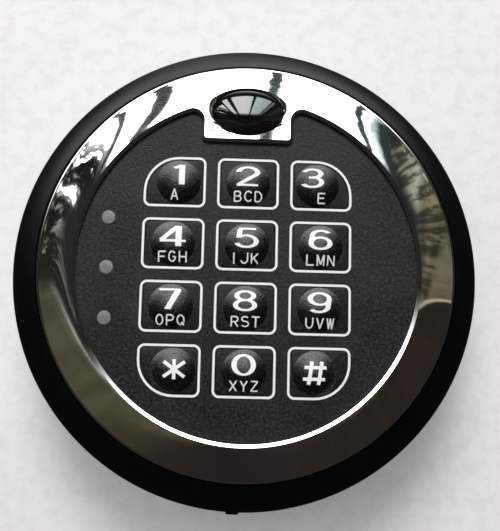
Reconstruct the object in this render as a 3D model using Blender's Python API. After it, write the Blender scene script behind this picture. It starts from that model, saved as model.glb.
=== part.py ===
# Keypad unit of an electronic safe lock, lying on its back with the keys up.
# Metres. The origin is the centre of the face that meets the safe door, +Z points
# out of the door towards the user, +Y to twelve o'clock and +X to three o'clock.

import math

import bmesh
import bpy

# Clearances and allowances
seat_gap = 0.0003  # between pieces that rest on each other
film_gap = 0.0001  # under the printed film and under what is soldered to the board
key_gap = 0.00015  # round a key in its opening
slide_gap = 0.0003  # round the battery drawer
press_gap = 0.0002  # from a key's plunger to the snap dome under it
screw_gap = 0.0001  # round a screw's shank
overrun = 0.001  # how far a cutting shape passes the face that it cuts
bite = 0.0003  # how far a rib or boss reaches into the wall that carries it
weld_distance = 0.000001

# Body
shoulder_width = 0.0072  # from the ring's rebate out to the straight wall
wall_thickness = 0.0023
shoulder_height = 0.0119
foot_chamfer = 0.0004
deck_thickness = 0.0015
ledge_thickness = 0.0020
ledge_width = 0.0018
well_wall = 0.0020

# Chrome ring, its tongue and the oval in the tongue
ring_width = 0.0082
ring_foot_width = 0.0036
recess_depth = 0.0016  # from the ring's crease down to the overlay
ring_chamfer = 0.00065
ring_land = 0.0004
ring_face_drop = 0.0006
ring_shoulder_width = 0.0010
ring_shoulder_drop = 0.0008
tongue_width = 0.0200
tongue_shift = -0.00065
tongue_fillet = 0.0020
tongue_corner = 0.0012
oval_width = 0.0156
oval_height = 0.0105
oval_inset = 0.01057  # of its middle from the ring's outer edge
oval_margin = 0.00135  # chrome left below the oval
oval_rise = 0.0010  # of the dome over its own edge
oval_gap = 0.00015
bevel_width = 0.0178
bevel_height = 0.0110
bevel_depth = 0.00045
bevel_lift = 0.00022

# Keys
row_count = 4
column_count = 3
frame_spacing_x = 0.00304  # from one printed frame to the next
frame_spacing_y = 0.00299
keypad_margin = 0.0028  # from the corner of the key field to the ring's opening
keypad_x = -0.0002
keypad_y = -0.0015
frame_width = 0.01296  # of a printed frame, between the middles of its strokes
frame_height = 0.01064
frame_stroke = 0.0007
frame_corner = 0.0013
frame_sweep = 0.0075  # the large corner of the four outer keys
key_dome_margin = 0.00002  # from a key's dome to the level edge of the key
key_dome_rise = 0.0014
key_dome_inset = 0.00029  # how much nearer a swept key's dome stays to its middle
key_travel = 0.0005
flange_reach = 0.0007
flange_thickness = 0.0008
flange_gap = 0.00025
plunger_radius = 0.0022
plunger_length = 0.0003

# Keypad sandwich
overlay_thickness = 0.0004
panel_thickness = 0.0015
panel_play = 0.0004
board_thickness = 0.0016
board_play = 0.0008
board_standoff = 0.0006
snap_radius = 0.0027
snap_height = 0.00045
snap_sheet = 0.00018
snap_waist_share = 0.5
snap_waist_height_share = 0.72

# Indicator windows and their lamps
window_radius = 0.0015
window_flange = 0.0005
window_flange_thickness = 0.0007
window_pitch = 0.0109
window_inset = 0.00765  # from the key field
window_y = -0.0002
lamp_length = 0.0020
lamp_width = 0.00125
lamp_height = 0.0007
lamp_corner = 0.0003

# Parts on the board
chip_side = 0.0070
chip_height = 0.0010
chip_corner = 0.0007
chip_inset = 0.0084  # from the board's edge
chip_y = 0.0020
buzzer_radius = 0.0060
buzzer_height = 0.0050
buzzer_port = 0.0010
buzzer_inset = 0.0159  # from the board's edge
socket_length = 0.0102
socket_width = 0.0072
socket_height = 0.0065
socket_wall = 0.0008
socket_y = 0.0100
opening_gap = 0.0005  # round the buzzer and the socket in the deck
wire_slot_length = 0.0090
wire_slot_width = 0.0022

# Screws
board_screw_radius = 0.00120
board_screw_head = 0.0022
board_screw_head_height = 0.0013
board_screw_length = 0.0060
board_screw_inset = 0.0029
board_boss_radius = 0.0025
board_boss_drop = 0.0040
base_screw_radius = 0.0015
base_screw_head = 0.0028
base_screw_sink = 0.0002
base_screw_length = 0.0130
base_column_radius = 0.0030
base_column_inset = 0.0056
base_column_rib = 0.0014
column_bore_depth = 0.0140
head_top_share = 0.7
drive_share = 0.5  # of a head's radius that its cross reaches
drive_slot = 0.0006
drive_depth = 0.0008
small_chamfer = 0.0002

# Base plate and the inserts for the screws that come through the door
base_thickness = 0.0025
mount_spacing = 0.0413
insert_radius = 0.0030
insert_length = 0.0075
insert_thread = 0.0017
insert_sink = 0.0002
insert_boss_wall = 0.00135
insert_roof = 0.0010
cable_hole_radius = 0.0055
cable_collar_wall = 0.0015
cable_collar_height = 0.0015
guide_thickness = 0.0015
guide_height = 0.0040
guide_end_gap = 0.0010
guide_tail = 0.0050

# Battery and its drawer
battery_length = 0.0455
battery_width = 0.0265
battery_thickness = 0.0175
battery_corner = 0.0018
battery_rim = 0.0006
battery_headroom = 0.0005
terminal_spacing = 0.0127
terminal_length = 0.0027
stud_radius = 0.00285
snap_socket_radius = 0.0038
snap_socket_wall = 0.0008
stud_waist_share = 0.9
stud_top_share = 0.86
crown_waist_share = 0.92
crown_floor_share = 0.3
drawer_wall = 0.0015
drawer_floor = 0.0015
drawer_lap = 0.0009  # of the front past the tray on each side
battery_front_gap = 0.0009
cradle_height = 0.0120
runner_height = 0.0032
runner_tail = 0.0015
lift_clearance = 0.0003
catch_reach = 0.0013
catch_thickness = 0.0015
catch_height = 0.0019
stop_gap = 0.0002
thumb_radius = 0.0080
thumb_depth = 0.0060
floor_window_length = 0.0240
floor_window_width = 0.0130
floor_window_corner = 0.0030
pull_width = 0.0031
pull_reach = 0.00105
pull_height = 0.0070
pull_rise = 0.0070
pull_x = -0.00175
pull_corner = 0.0006

# Leaf contacts
leaf_room = 0.0016
leaf_width = 0.0050
leaf_sheet = 0.0004
leaf_height = 0.0115
contact_rib = 0.0015
contact_rib_clear = 0.0003

# How finely round shapes are cut
round_steps = 52
shoulder_steps = 5
inner_shoulder_steps = 3
small_round_steps = 12
boss_steps = 24
oval_steps = 28
face_steps = 4
leaf_steps = 8
corner_steps = 2
sweep_steps = 7
key_side_steps = (3, 2)  # points added along a key's level and upright sides
dome_shares = (0.74, 0.40)
oval_dome_shares = (0.86, 0.62, 0.32)
smooth_angle = math.radians(32)

# Angles anticlockwise from +X
buzzer_angle = math.radians(131.4)
board_screw_angles = (math.radians(-28.4), math.radians(90), math.radians(208.4))
base_screw_angles = tuple(math.radians(angle) for angle in (-26, 50, 130, 206))

# Levels above the door, worked out from the base plate up
drawer_bottom = base_thickness + slide_gap
battery_bottom = drawer_bottom + drawer_floor + seat_gap
deck_bottom = battery_bottom + battery_thickness + battery_headroom
deck_top = deck_bottom + deck_thickness
board_bottom = deck_top + board_standoff + seat_gap
board_top = board_bottom + board_thickness
snap_bottom = board_top + film_gap
key_bottom = snap_bottom + snap_height + press_gap
flange_bottom = key_bottom + plunger_length
flange_top = flange_bottom + flange_thickness
panel_bottom = flange_top + flange_gap
ledge_level = panel_bottom - seat_gap
overlay_bottom = panel_bottom + panel_thickness + film_gap
overlay_top = overlay_bottom + overlay_thickness
ring_underside = overlay_top + seat_gap
ring_crease = overlay_top + recess_depth
ring_shoulder_level = ring_crease - ring_face_drop
lip_level = ring_shoulder_level - ring_shoulder_drop

# The keys, and round them the ring's opening
key_pitch_x = frame_width + frame_spacing_x
key_pitch_y = frame_height + frame_spacing_y
middle_row = (row_count - 1) / 2
middle_column = (column_count - 1) / 2
field_half_width = middle_column * key_pitch_x + frame_width / 2
field_half_height = middle_row * key_pitch_y + frame_height / 2
ring_inner = math.hypot(field_half_width, field_half_height) + keypad_margin
key_dome_radius = frame_height / 2 - frame_stroke / 2 - key_gap - key_dome_margin
key_dome_shift = (frame_width - frame_height) / 2 - key_dome_inset
window_x = keypad_x - field_half_width - window_inset

# Radii of the ring, of what lies in its well and of the body around it
ring_radius = ring_inner + ring_width
ring_foot_inner = ring_radius - ring_foot_width
rebate_radius = ring_radius + seat_gap
body_radius = rebate_radius + shoulder_width
panel_radius = ring_foot_inner - panel_play
well_radius = panel_radius - ledge_width
well_outer = well_radius + well_wall
board_radius = well_radius - board_play
inner_radius = body_radius - wall_thickness
base_radius = inner_radius - seat_gap
chip_x = board_radius - chip_inset
buzzer_x = (board_radius - buzzer_inset) * math.cos(buzzer_angle)
buzzer_y = (board_radius - buzzer_inset) * math.sin(buzzer_angle)

# The body's shoulder is an arc that meets the straight wall without a corner
shoulder_radius = (shoulder_width**2 + shoulder_height**2) / (2 * shoulder_width)
shoulder_centre = body_radius - shoulder_radius
shoulder_foot = lip_level - shoulder_height
ledge_underside = ledge_level - ledge_thickness

# The battery lies across the drawer, terminals towards three o'clock
drawer_length = (
    drawer_wall + seat_gap + battery_length + seat_gap + terminal_length
    + leaf_room + contact_rib + drawer_wall
)
drawer_half = drawer_length / 2
front_half = drawer_half + drawer_lap
mouth_half = front_half + seat_gap
battery_left = -drawer_half + drawer_wall + seat_gap
battery_right = battery_left + battery_length
battery_front = battery_front_gap - math.sqrt(inner_radius**2 - battery_left**2)
battery_rear = battery_front + battery_width
battery_middle = (battery_front + battery_rear) / 2
battery_axis = battery_bottom + battery_thickness / 2
terminal_end = battery_right + seat_gap + terminal_length
contact_face = terminal_end + leaf_room
drawer_rear = battery_rear + seat_gap + drawer_wall
drawer_top = deck_bottom - slide_gap
drawer_travel = body_radius + battery_rear + lift_clearance

# Catches on the runners meet the body's wall beside the drawer's mouth
catch_half = mouth_half + catch_reach
catch_front = drawer_travel + stop_gap - math.sqrt(inner_radius**2 - catch_half**2)
guide_top = base_thickness + guide_height
catch_bottom = guide_top + slide_gap
catch_top = catch_bottom + catch_height
runner_rear = catch_front + catch_thickness + runner_tail
contact_rib_bottom = catch_top + slide_gap

oval_x = tongue_shift
oval_y = ring_radius - oval_inset
tongue_bottom = oval_y - oval_height / 2 - oval_margin


# Outlines

def spaced(first, last, steps):
    return [first + (last - first) * step / steps for step in range(steps + 1)]


def arc(centre, radii, first, last, steps):
    """Points on an arc, or on a stretch of an ellipse, between two angles."""
    return [
        (centre[0] + radii[0] * math.cos(angle), centre[1] + radii[1] * math.sin(angle))
        for angle in spaced(first, last, steps)
    ]


def circle(centre, radius, steps):
    return arc(centre, (radius, radius), 0, math.tau, steps)[:-1]


def ellipse(centre, width, height, steps):
    return arc(centre, (width / 2, height / 2), 0, math.tau, steps)[:-1]


def rectangle(left, right, front, back):
    return [(left, front), (right, front), (right, back), (left, back)]


def strip(start, end, width):
    """A straight strip from one point to another."""
    along = math.atan2(end[1] - start[1], end[0] - start[0])
    side_x = -math.sin(along) * width / 2
    side_y = math.cos(along) * width / 2
    return [
        (start[0] - side_x, start[1] - side_y),
        (end[0] - side_x, end[1] - side_y),
        (end[0] + side_x, end[1] + side_y),
        (start[0] + side_x, start[1] + side_y),
    ]


def polar(radius, angle):
    return (radius * math.cos(angle), radius * math.sin(angle))


def rounded(width, height, corners, grow=0.0, side_cuts=(0, 0)):
    """A rounded rectangle, anticlockwise from the top right corner.

    corners holds each corner's radius and steps. grow moves the whole outline
    outwards, and side_cuts adds points along the level and the upright sides.
    """
    signs = ((1, 1), (-1, 1), (-1, -1), (1, -1))
    arcs = []
    for turn, ((sign_x, sign_y), (radius, steps)) in enumerate(zip(signs, corners)):
        centre = (sign_x * (width / 2 - radius), sign_y * (height / 2 - radius))
        first = turn * math.pi / 2
        reach = radius + grow
        arcs.append(arc(centre, (reach, reach), first, first + math.pi / 2, steps))
    outline = []
    for turn, corner in enumerate(arcs):
        following = arcs[(turn + 1) % len(arcs)][0]
        cuts = side_cuts[turn % 2] + 1
        across = spaced(corner[-1][0], following[0], cuts)
        down = spaced(corner[-1][1], following[1], cuts)
        outline += corner + list(zip(across, down))[1:-1]
    return outline


def moved(outline, shift_x, shift_y):
    return [(x + shift_x, y + shift_y) for x, y in outline]


def level(outline, height):
    return [(x, y, height) for x, y in outline]


# Meshes

def skin(sections, tip=None):
    """A closed body through sections with as many points each, ending flat or in a tip."""
    bm = bmesh.new()
    rings = [[bm.verts.new(point) for point in section] for section in sections]
    for lower, upper in zip(rings, rings[1:]):
        for here in range(len(lower)):
            after = (here + 1) % len(lower)
            bm.faces.new((lower[here], lower[after], upper[after], upper[here]))
    bm.faces.new(rings[0][::-1])
    if tip:
        top = bm.verts.new(tip)
        for here in range(len(rings[-1])):
            bm.faces.new((rings[-1][here], rings[-1][(here + 1) % len(rings[-1])], top))
    else:
        bm.faces.new(rings[-1])
    bmesh.ops.recalc_face_normals(bm, faces=bm.faces)
    return bm


def prism(outline, bottom, top):
    return skin([level(outline, bottom), level(outline, top)])


def turned(profile, steps=round_steps, centre=(0, 0), hollow=False):
    """A profile of (radius, height) points spun about Z.

    It runs from axis to axis, or is a closed loop off the axis when hollow.
    """
    bm = bmesh.new()
    points = [bm.verts.new((radius, 0, height)) for radius, height in profile]
    edges = [bm.edges.new(pair) for pair in zip(points, points[1:])]
    if hollow:
        edges.append(bm.edges.new((points[-1], points[0])))
    bmesh.ops.spin(
        bm, geom=points + edges, cent=(0, 0, 0), axis=(0, 0, 1), angle=math.tau,
        steps=steps, use_merge=True,
    )
    bmesh.ops.remove_doubles(bm, verts=bm.verts, dist=weld_distance)
    bmesh.ops.recalc_face_normals(bm, faces=bm.faces)
    bmesh.ops.translate(bm, verts=bm.verts, vec=(*centre, 0))
    return bm


def group(pieces):
    """Bodies that stand apart, held in one mesh."""
    whole = bmesh.new()
    for piece in pieces:
        mesh = bpy.data.meshes.new("piece")
        piece.to_mesh(mesh)
        piece.free()
        whole.from_mesh(mesh)
        bpy.data.meshes.remove(mesh)
    return whole


# Objects

def finish(name, color, roughness, metallic=0.0):
    material = bpy.data.materials.new(name)
    material.use_nodes = True
    shader = material.node_tree.nodes["Principled BSDF"]
    shader.inputs["Base Color"].default_value = (*color, 1)
    shader.inputs["Roughness"].default_value = roughness
    shader.inputs["Metallic"].default_value = metallic
    material.diffuse_color = (*color, 1)
    return material


def shaped(name, bm, material=None):
    mesh = bpy.data.meshes.new(name)
    bm.to_mesh(mesh)
    bm.free()
    mesh.shade_smooth()
    mesh.set_sharp_from_angle(angle=smooth_angle)
    if material:
        mesh.materials.append(material)
    return mesh


def place(name, mesh, location=(0, 0, 0), parent=None):
    part = bpy.data.objects.new(name, mesh)
    part.location = location
    part.parent = parent
    bpy.context.scene.collection.objects.link(part)
    return part


def work(part, operation, name, bm):
    """Cuts, joins or intersects a part with a shape given in the part's own frame."""
    tool = place(part.name + "_" + name, shaped(name, bm), parent=part)
    tool.hide_render = True
    tool.display_type = "WIRE"
    modifier = part.modifiers.new(name, "BOOLEAN")
    modifier.operation = operation
    modifier.solver = "EXACT"
    modifier.object = tool


def cut(part, name, bm):
    work(part, "DIFFERENCE", name, bm)


def join(part, name, bm):
    work(part, "UNION", name, bm)


# Housing

def wall_side(arc_radius, top, bottom, steps):
    """One face of the body's wall, from a height on its shoulder down to the bottom."""
    start = math.asin((top - shoulder_foot) / arc_radius)
    centre = (shoulder_centre, shoulder_foot)
    curve = arc(centre, (arc_radius, arc_radius), start, 0, steps)
    return curve + [(curve[-1][0], bottom)]


def housing_profile():
    outside = wall_side(shoulder_radius, lip_level, foot_chamfer, shoulder_steps)
    inside = wall_side(
        shoulder_radius - wall_thickness, ledge_underside, 0, inner_shoulder_steps
    )
    return (
        [(0, deck_top), (well_radius, deck_top), (well_radius, ledge_level)]
        + [(rebate_radius, ledge_level)]
        + outside
        + [(body_radius - foot_chamfer, 0)]
        + inside[::-1]
        + [(well_outer, ledge_underside), (well_outer, deck_bottom), (0, deck_bottom)]
    )


def board_screw_places():
    radius = board_radius - board_screw_inset
    return [polar(radius, angle) for angle in board_screw_angles]


def base_screw_places():
    radius = inner_radius - base_column_inset
    return [polar(radius, angle) for angle in base_screw_angles]


def drawer_mouth():
    inner_end = math.sqrt(inner_radius**2 - mouth_half**2) - overrun
    outline = rectangle(-mouth_half, mouth_half, -body_radius - overrun, -inner_end)
    return prism(outline, base_thickness, deck_bottom)


def make_housing():
    material = finish("housing_black", (0.012, 0.012, 0.012), 0.42)
    housing = place("housing", shaped("housing", turned(housing_profile()), material))
    cut(housing, "drawer_mouth", drawer_mouth())

    columns = []
    ribs = []
    bores = []
    column_bottom = base_thickness + seat_gap
    column_top = ledge_underside + bite
    for x, y in base_screw_places():
        column = circle((x, y), base_column_radius, small_round_steps)
        columns.append(prism(column, column_bottom, column_top))
        angle = math.atan2(y, x)
        wall = polar(inner_radius + bite, angle)
        rib = strip((x, y), wall, base_column_rib)
        ribs.append(prism(rib, column_bottom + bite, deck_bottom))
        bore = circle((x, y), base_screw_radius + screw_gap, small_round_steps)
        bores.append(prism(bore, column_bottom - overrun, column_bottom + column_bore_depth))
    bosses = []
    for place_of_screw in board_screw_places():
        boss = circle(place_of_screw, board_boss_radius, small_round_steps)
        boss_bottom = deck_bottom - board_boss_drop
        boss_top = deck_top + board_standoff
        bosses.append(prism(boss, boss_bottom, boss_top))
        bore = circle(place_of_screw, board_screw_radius + screw_gap, small_round_steps)
        bores.append(prism(bore, boss_bottom - overrun, boss_top + overrun))
    join(housing, "base_columns", group(columns))
    join(housing, "column_ribs", group(ribs))
    join(housing, "board_bosses", group(bosses))
    join(housing, "contact_rib", contact_rib_shape())
    cut(housing, "screw_bores", group(bores))
    cut(housing, "deck_openings", deck_openings())
    return housing


def contact_rib_shape():
    """The upright rib that the leaf contacts clip to, hanging from the deck."""
    outer_x = contact_face + contact_rib
    front = contact_rib + seat_gap - math.sqrt(inner_radius**2 - outer_x**2)
    outline = rectangle(contact_face, outer_x, front, battery_rear)
    return prism(outline, contact_rib_bottom, deck_bottom + bite)


def deck_openings():
    low = deck_bottom - overrun
    high = deck_top + overrun
    buzzer = circle((buzzer_x, buzzer_y), buzzer_radius + opening_gap, boss_steps)
    half_length = socket_length / 2 + opening_gap
    half_width = socket_width / 2 + opening_gap
    socket = rectangle(-half_length, half_length, socket_y - half_width, socket_y + half_width)
    slot_left = contact_face - wire_slot_length
    slot_back = battery_rear + drawer_wall + wire_slot_width
    slot = rectangle(slot_left, contact_face, slot_back - wire_slot_width, slot_back)
    return group([prism(outline, low, high) for outline in (buzzer, socket, slot)])


# Base plate

def make_base_plate():
    material = finish("base_black", (0.015, 0.015, 0.016), 0.55)
    profile = [
        (0, base_thickness),
        (base_radius, base_thickness),
        (base_radius, foot_chamfer),
        (base_radius - foot_chamfer, 0),
        (0, 0),
    ]
    plate = place("base_plate", shaped("base_plate", turned(profile), material))
    root = base_thickness - bite

    guide_inner = drawer_half + slide_gap
    guide_outer = guide_inner + guide_thickness
    guide_front = guide_end_gap - math.sqrt(base_radius**2 - guide_outer**2)
    guide_rear = runner_rear + guide_tail
    boss_radius = insert_radius + screw_gap + insert_boss_wall
    boss_top = insert_sink + insert_length + seat_gap + insert_roof
    guides = []
    bosses = []
    for side in (-1, 1):
        near, far = sorted((side * guide_inner, side * guide_outer))
        guide = rectangle(near, far, guide_front, guide_rear)
        guides.append(prism(guide, root, guide_top))
        boss = circle((side * mount_spacing / 2, 0), boss_radius, boss_steps)
        bosses.append(prism(boss, root, boss_top))
    collar = circle((0, 0), cable_hole_radius + cable_collar_wall, boss_steps)
    join(plate, "guides", group(guides))
    join(plate, "insert_bosses", group(bosses))
    join(plate, "cable_collar", prism(collar, root, base_thickness + cable_collar_height))

    holes = []
    for side in (-1, 1):
        bore = circle((side * mount_spacing / 2, 0), insert_radius + screw_gap, boss_steps)
        holes.append(prism(bore, -overrun, insert_sink + insert_length + seat_gap))
    cable_hole = circle((0, 0), cable_hole_radius, boss_steps)
    holes.append(prism(cable_hole, -overrun, base_thickness + cable_collar_height + overrun))
    sink_radius = base_screw_head + seat_gap
    shank_radius = base_screw_radius + 2 * screw_gap
    sink_depth = base_screw_sink + sink_radius - shank_radius
    sink_profile = [
        (0, base_thickness + overrun),
        (shank_radius, base_thickness + overrun),
        (shank_radius, sink_depth),
        (sink_radius, base_screw_sink),
        (sink_radius, -overrun),
        (0, -overrun),
    ]
    for hole_place in base_screw_places():
        holes.append(turned(sink_profile, small_round_steps, hole_place))
    cut(plate, "holes", group(holes))
    return plate


# Chrome ring and oval lens

def opening_outline(grow):
    """The ring's opening: a circle with the tongue reaching into it from the top.

    grow opens it up all round, which fills the tongue's corners less and less.
    """
    radius = ring_inner + grow
    fillet = tongue_fillet + grow
    corner = tongue_corner - grow
    half = tongue_width / 2
    middles = []
    for side in (1, -1):
        x = tongue_shift + side * (half + tongue_fillet)
        y = math.sqrt((ring_inner - tongue_fillet) ** 2 - x**2)
        middles.append((x, y))
    right, left = middles
    right_angle = math.atan2(right[1], right[0])
    left_angle = math.atan2(left[1], left[0])
    corner_y = tongue_bottom + tongue_corner
    corner_right = (tongue_shift + half - tongue_corner, corner_y)
    corner_left = (tongue_shift - half + tongue_corner, corner_y)
    quarter = math.pi / 2
    steps = corner_steps + 1
    return (
        arc((0, 0), (radius, radius), left_angle, right_angle + math.tau, round_steps)
        + arc(right, (fillet, fillet), right_angle, math.pi, steps)[1:]
        + arc(corner_right, (corner, corner), 0, -quarter, steps)
        + arc(corner_left, (corner, corner), -quarter, -math.pi, steps)
        + arc(left, (fillet, fillet), 0, left_angle, steps)[:-1]
    )


def make_bezel_ring():
    material = finish("ring_chrome", (0.83, 0.83, 0.84), 0.04, 1.0)
    face_outer = ring_radius - ring_shoulder_width
    land = ring_inner + ring_chamfer + ring_land
    face_width = face_outer - land
    face_radius = (face_width**2 + ring_face_drop**2) / (2 * ring_face_drop)
    face_turn = math.asin(face_width / face_radius)
    upright = math.pi / 2
    face_centre = (land, ring_crease - face_radius)
    face = arc(face_centre, (face_radius, face_radius), upright, upright - face_turn, face_steps)
    shoulder_radii = (ring_shoulder_width, ring_shoulder_drop)
    shoulder = arc((face_outer, lip_level), shoulder_radii, upright, 0, corner_steps + 1)
    profile = (
        [(0, ring_crease)]
        + face[:-1]
        + shoulder
        + [(ring_radius, panel_bottom), (ring_foot_inner, panel_bottom)]
        + [(ring_foot_inner, ring_underside), (0, ring_underside)]
    )
    ring = place("bezel_ring", shaped("bezel_ring", turned(profile), material))

    low = ring_underside - overrun
    flare = ring_chamfer + bite
    cut(
        ring,
        "opening",
        skin([
            level(opening_outline(0), low),
            level(opening_outline(0), ring_crease - ring_chamfer),
            level(opening_outline(flare), ring_crease + bite),
        ]),
    )
    seat_width = oval_width + 2 * oval_gap
    seat_height = oval_height + 2 * oval_gap
    rise = (bevel_depth + bite) / bevel_depth
    seat = ellipse((oval_x, oval_y), seat_width, seat_height, oval_steps)
    rim = ellipse(
        (oval_x, oval_y + bevel_lift * rise),
        seat_width + (bevel_width - seat_width) * rise,
        seat_height + (bevel_height - seat_height) * rise,
        oval_steps,
    )
    cut(
        ring,
        "oval_seat",
        skin([
            level(seat, low),
            level(seat, ring_crease - bevel_depth),
            level(rim, ring_crease + bite),
        ]),
    )
    return ring


def make_oval_lens():
    material = finish("lens_black", (0.004, 0.004, 0.004), 0.05)
    edge = ring_crease - bevel_depth - overlay_top
    sections = [(1, film_gap), (1, edge)]
    sections += [(share, edge + oval_rise * (1 - share**2)) for share in oval_dome_shares]
    outlines = [
        level(ellipse((0, 0), oval_width * share, oval_height * share, oval_steps), height)
        for share, height in sections
    ]
    mesh = shaped("oval_lens", skin(outlines, (0, 0, edge + oval_rise)), material)
    return place("oval_lens", mesh, (oval_x, oval_y, overlay_top))


# Keys

key_rows = (
    ("key_1", "key_2", "key_3"),
    ("key_4", "key_5", "key_6"),
    ("key_7", "key_8", "key_9"),
    ("key_star", "key_0", "key_hash"),
)
corner_names = ("top_right", "top_left", "bottom_left", "bottom_right")
swept_corner = {
    "key_1": "top_left",
    "key_3": "top_right",
    "key_star": "bottom_left",
    "key_hash": "bottom_right",
}


def key_places():
    """Each key's name with the centre of its printed frame."""
    places = {}
    for row, names in enumerate(key_rows):
        for column, name in enumerate(names):
            x = keypad_x + (column - middle_column) * key_pitch_x
            y = keypad_y + (middle_row - row) * key_pitch_y
            places[name] = (x, y)
    return places


def key_outline(name, grow, side_cuts=(0, 0)):
    """A key's printed frame moved in or out, with one large corner on the outer keys."""
    corners = [
        (frame_sweep, sweep_steps)
        if swept_corner.get(name) == corner
        else (frame_corner, corner_steps)
        for corner in corner_names
    ]
    return rounded(frame_width, frame_height, corners, grow, side_cuts)


def key_dome_x(name):
    """How far a key's dome stands off the middle of its frame."""
    if name not in swept_corner:
        return 0
    return key_dome_shift if key_places()[name][0] < keypad_x else -key_dome_shift


def round_towards(outline, centre_x, radius):
    """A circle with one point in line with each point of the outline."""
    angles = [math.atan2(y, x - centre_x) for x, y in outline]
    return [(centre_x + radius * math.cos(a), radius * math.sin(a)) for a in angles]


def key_mesh(name, material):
    """A key about the middle of its frame, with zero height at the overlay's face."""
    key_grow = -frame_stroke / 2 - key_gap
    stem = key_outline(name, key_grow, key_side_steps)
    flange = key_outline(name, key_grow + key_gap + flange_reach, key_side_steps)
    dome_x = key_dome_x(name)
    sphere = (key_dome_radius**2 + key_dome_rise**2) / (2 * key_dome_rise)
    sections = [
        level(round_towards(stem, dome_x, plunger_radius), key_bottom - overlay_top),
        level(round_towards(stem, dome_x, plunger_radius), flange_bottom - overlay_top),
        level(flange, flange_bottom - overlay_top),
        level(flange, flange_top - overlay_top),
        level(stem, flange_top - overlay_top),
        level(stem, 0),
        level(round_towards(stem, dome_x, key_dome_radius), 0),
    ]
    for share in dome_shares:
        radius = key_dome_radius * share
        height = key_dome_rise - sphere + math.sqrt(sphere**2 - radius**2)
        sections.append(level(round_towards(stem, dome_x, radius), height))
    return shaped(name, skin(sections, (dome_x, 0, key_dome_rise)), material)


def make_keys():
    material = finish("key_charcoal", (0.018, 0.018, 0.019), 0.45)
    plain = key_mesh("key_plain", material)
    keys = []
    for name, (x, y) in key_places().items():
        mesh = key_mesh(name, material) if name in swept_corner else plain
        keys.append(place(name, mesh, (x, y, overlay_top)))
    return keys


def make_snap_domes():
    material = finish("snap_steel", (0.62, 0.61, 0.58), 0.3, 1.0)
    waist = snap_radius * snap_waist_share
    waist_height = snap_height * snap_waist_height_share
    profile = [
        (0, snap_height),
        (waist, waist_height),
        (snap_radius, 0),
        (snap_radius - snap_sheet, 0),
        (waist - snap_sheet / 2, waist_height - snap_sheet),
        (0, snap_height - snap_sheet),
    ]
    mesh = shaped("snap_dome", turned(profile, small_round_steps), material)
    domes = []
    for name, (x, y) in key_places().items():
        dome_name = name.replace("key", "snap_dome")
        domes.append(place(dome_name, mesh, (x + key_dome_x(name), y, snap_bottom)))
    return domes


# Panel, overlay and indicator windows

def window_places():
    names = ("upper", "middle", "lower")
    return {
        name: (window_x, window_y + (1 - row) * window_pitch) for row, name in enumerate(names)
    }


def key_and_window_openings(bottom, top):
    openings = []
    for name, (x, y) in key_places().items():
        outline = moved(key_outline(name, -frame_stroke / 2), x, y)
        openings.append(prism(outline, bottom, top))
    for window_place in window_places().values():
        hole = circle(window_place, window_radius + screw_gap, small_round_steps)
        openings.append(prism(hole, bottom, top))
    return group(openings)


def make_panel():
    material = finish("panel_black", (0.02, 0.02, 0.02), 0.6)
    disc = prism(circle((0, 0), panel_radius, round_steps), 0, panel_thickness)
    panel = place("keypad_panel", shaped("keypad_panel", disc, material), (0, 0, panel_bottom))
    cut(panel, "openings", key_and_window_openings(-overrun, panel_thickness + overrun))
    return panel


def make_overlay():
    material = finish("overlay_charcoal", (0.018, 0.018, 0.019), 0.5)
    disc = prism(circle((0, 0), panel_radius, round_steps), 0, overlay_thickness)
    mesh = shaped("keypad_overlay", disc, material)
    overlay = place("keypad_overlay", mesh, (0, 0, overlay_bottom))
    cut(overlay, "openings", key_and_window_openings(-overrun, overlay_thickness + overrun))
    return overlay


def make_windows():
    material = finish("window_grey", (0.22, 0.22, 0.22), 0.4)
    flange_level = panel_bottom - film_gap - overlay_top
    foot = flange_level - window_flange_thickness
    profile = [
        (0, 0),
        (window_radius, 0),
        (window_radius, flange_level),
        (window_radius + window_flange, flange_level),
        (window_radius + window_flange, foot),
        (0, foot),
    ]
    mesh = shaped("window", turned(profile, small_round_steps), material)
    for name, (x, y) in window_places().items():
        place("window_" + name, mesh, (x, y, overlay_top))


# Circuit board and what it carries

def make_board():
    material = finish("board_green", (0.012, 0.075, 0.035), 0.35)
    disc = prism(circle((0, 0), board_radius, round_steps), 0, board_thickness)
    mesh = shaped("circuit_board", disc, material)
    board = place("circuit_board", mesh, (0, 0, board_bottom))
    radius = board_screw_radius + 2 * screw_gap
    holes = [
        prism(circle(hole, radius, small_round_steps), -overrun, board_thickness + overrun)
        for hole in board_screw_places()
    ]
    cut(board, "screw_holes", group(holes))
    return board


def make_chip():
    material = finish("chip_black", (0.02, 0.02, 0.022), 0.5)
    corners = [(chip_corner, 1)] * 4
    low = rounded(chip_side, chip_side, corners)
    high = rounded(chip_side, chip_side, corners, -film_gap)
    mesh = shaped("controller_chip", skin([level(low, 0), level(high, chip_height)]), material)
    place("controller_chip", mesh, (chip_x, chip_y, board_top + film_gap))


def make_lamps():
    material = finish("lamp_yellow", (0.75, 0.62, 0.25), 0.35)
    body = rounded(lamp_length, lamp_width, [(lamp_corner, 1)] * 4)
    mesh = shaped("led", prism(body, 0, lamp_height), material)
    for name, (x, y) in window_places().items():
        place("led_" + name, mesh, (x, y, board_top + film_gap))


def make_buzzer():
    material = finish("buzzer_black", (0.02, 0.02, 0.02), 0.4)
    profile = [
        (0, 0),
        (buzzer_radius, 0),
        (buzzer_radius, small_chamfer - buzzer_height),
        (buzzer_radius - small_chamfer, -buzzer_height),
        (buzzer_port, -buzzer_height),
        (buzzer_port, buzzer_port - buzzer_height),
        (0, buzzer_port - buzzer_height),
    ]
    mesh = shaped("buzzer", turned(profile, boss_steps), material)
    place("buzzer", mesh, (buzzer_x, buzzer_y, board_bottom - film_gap))


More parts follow.
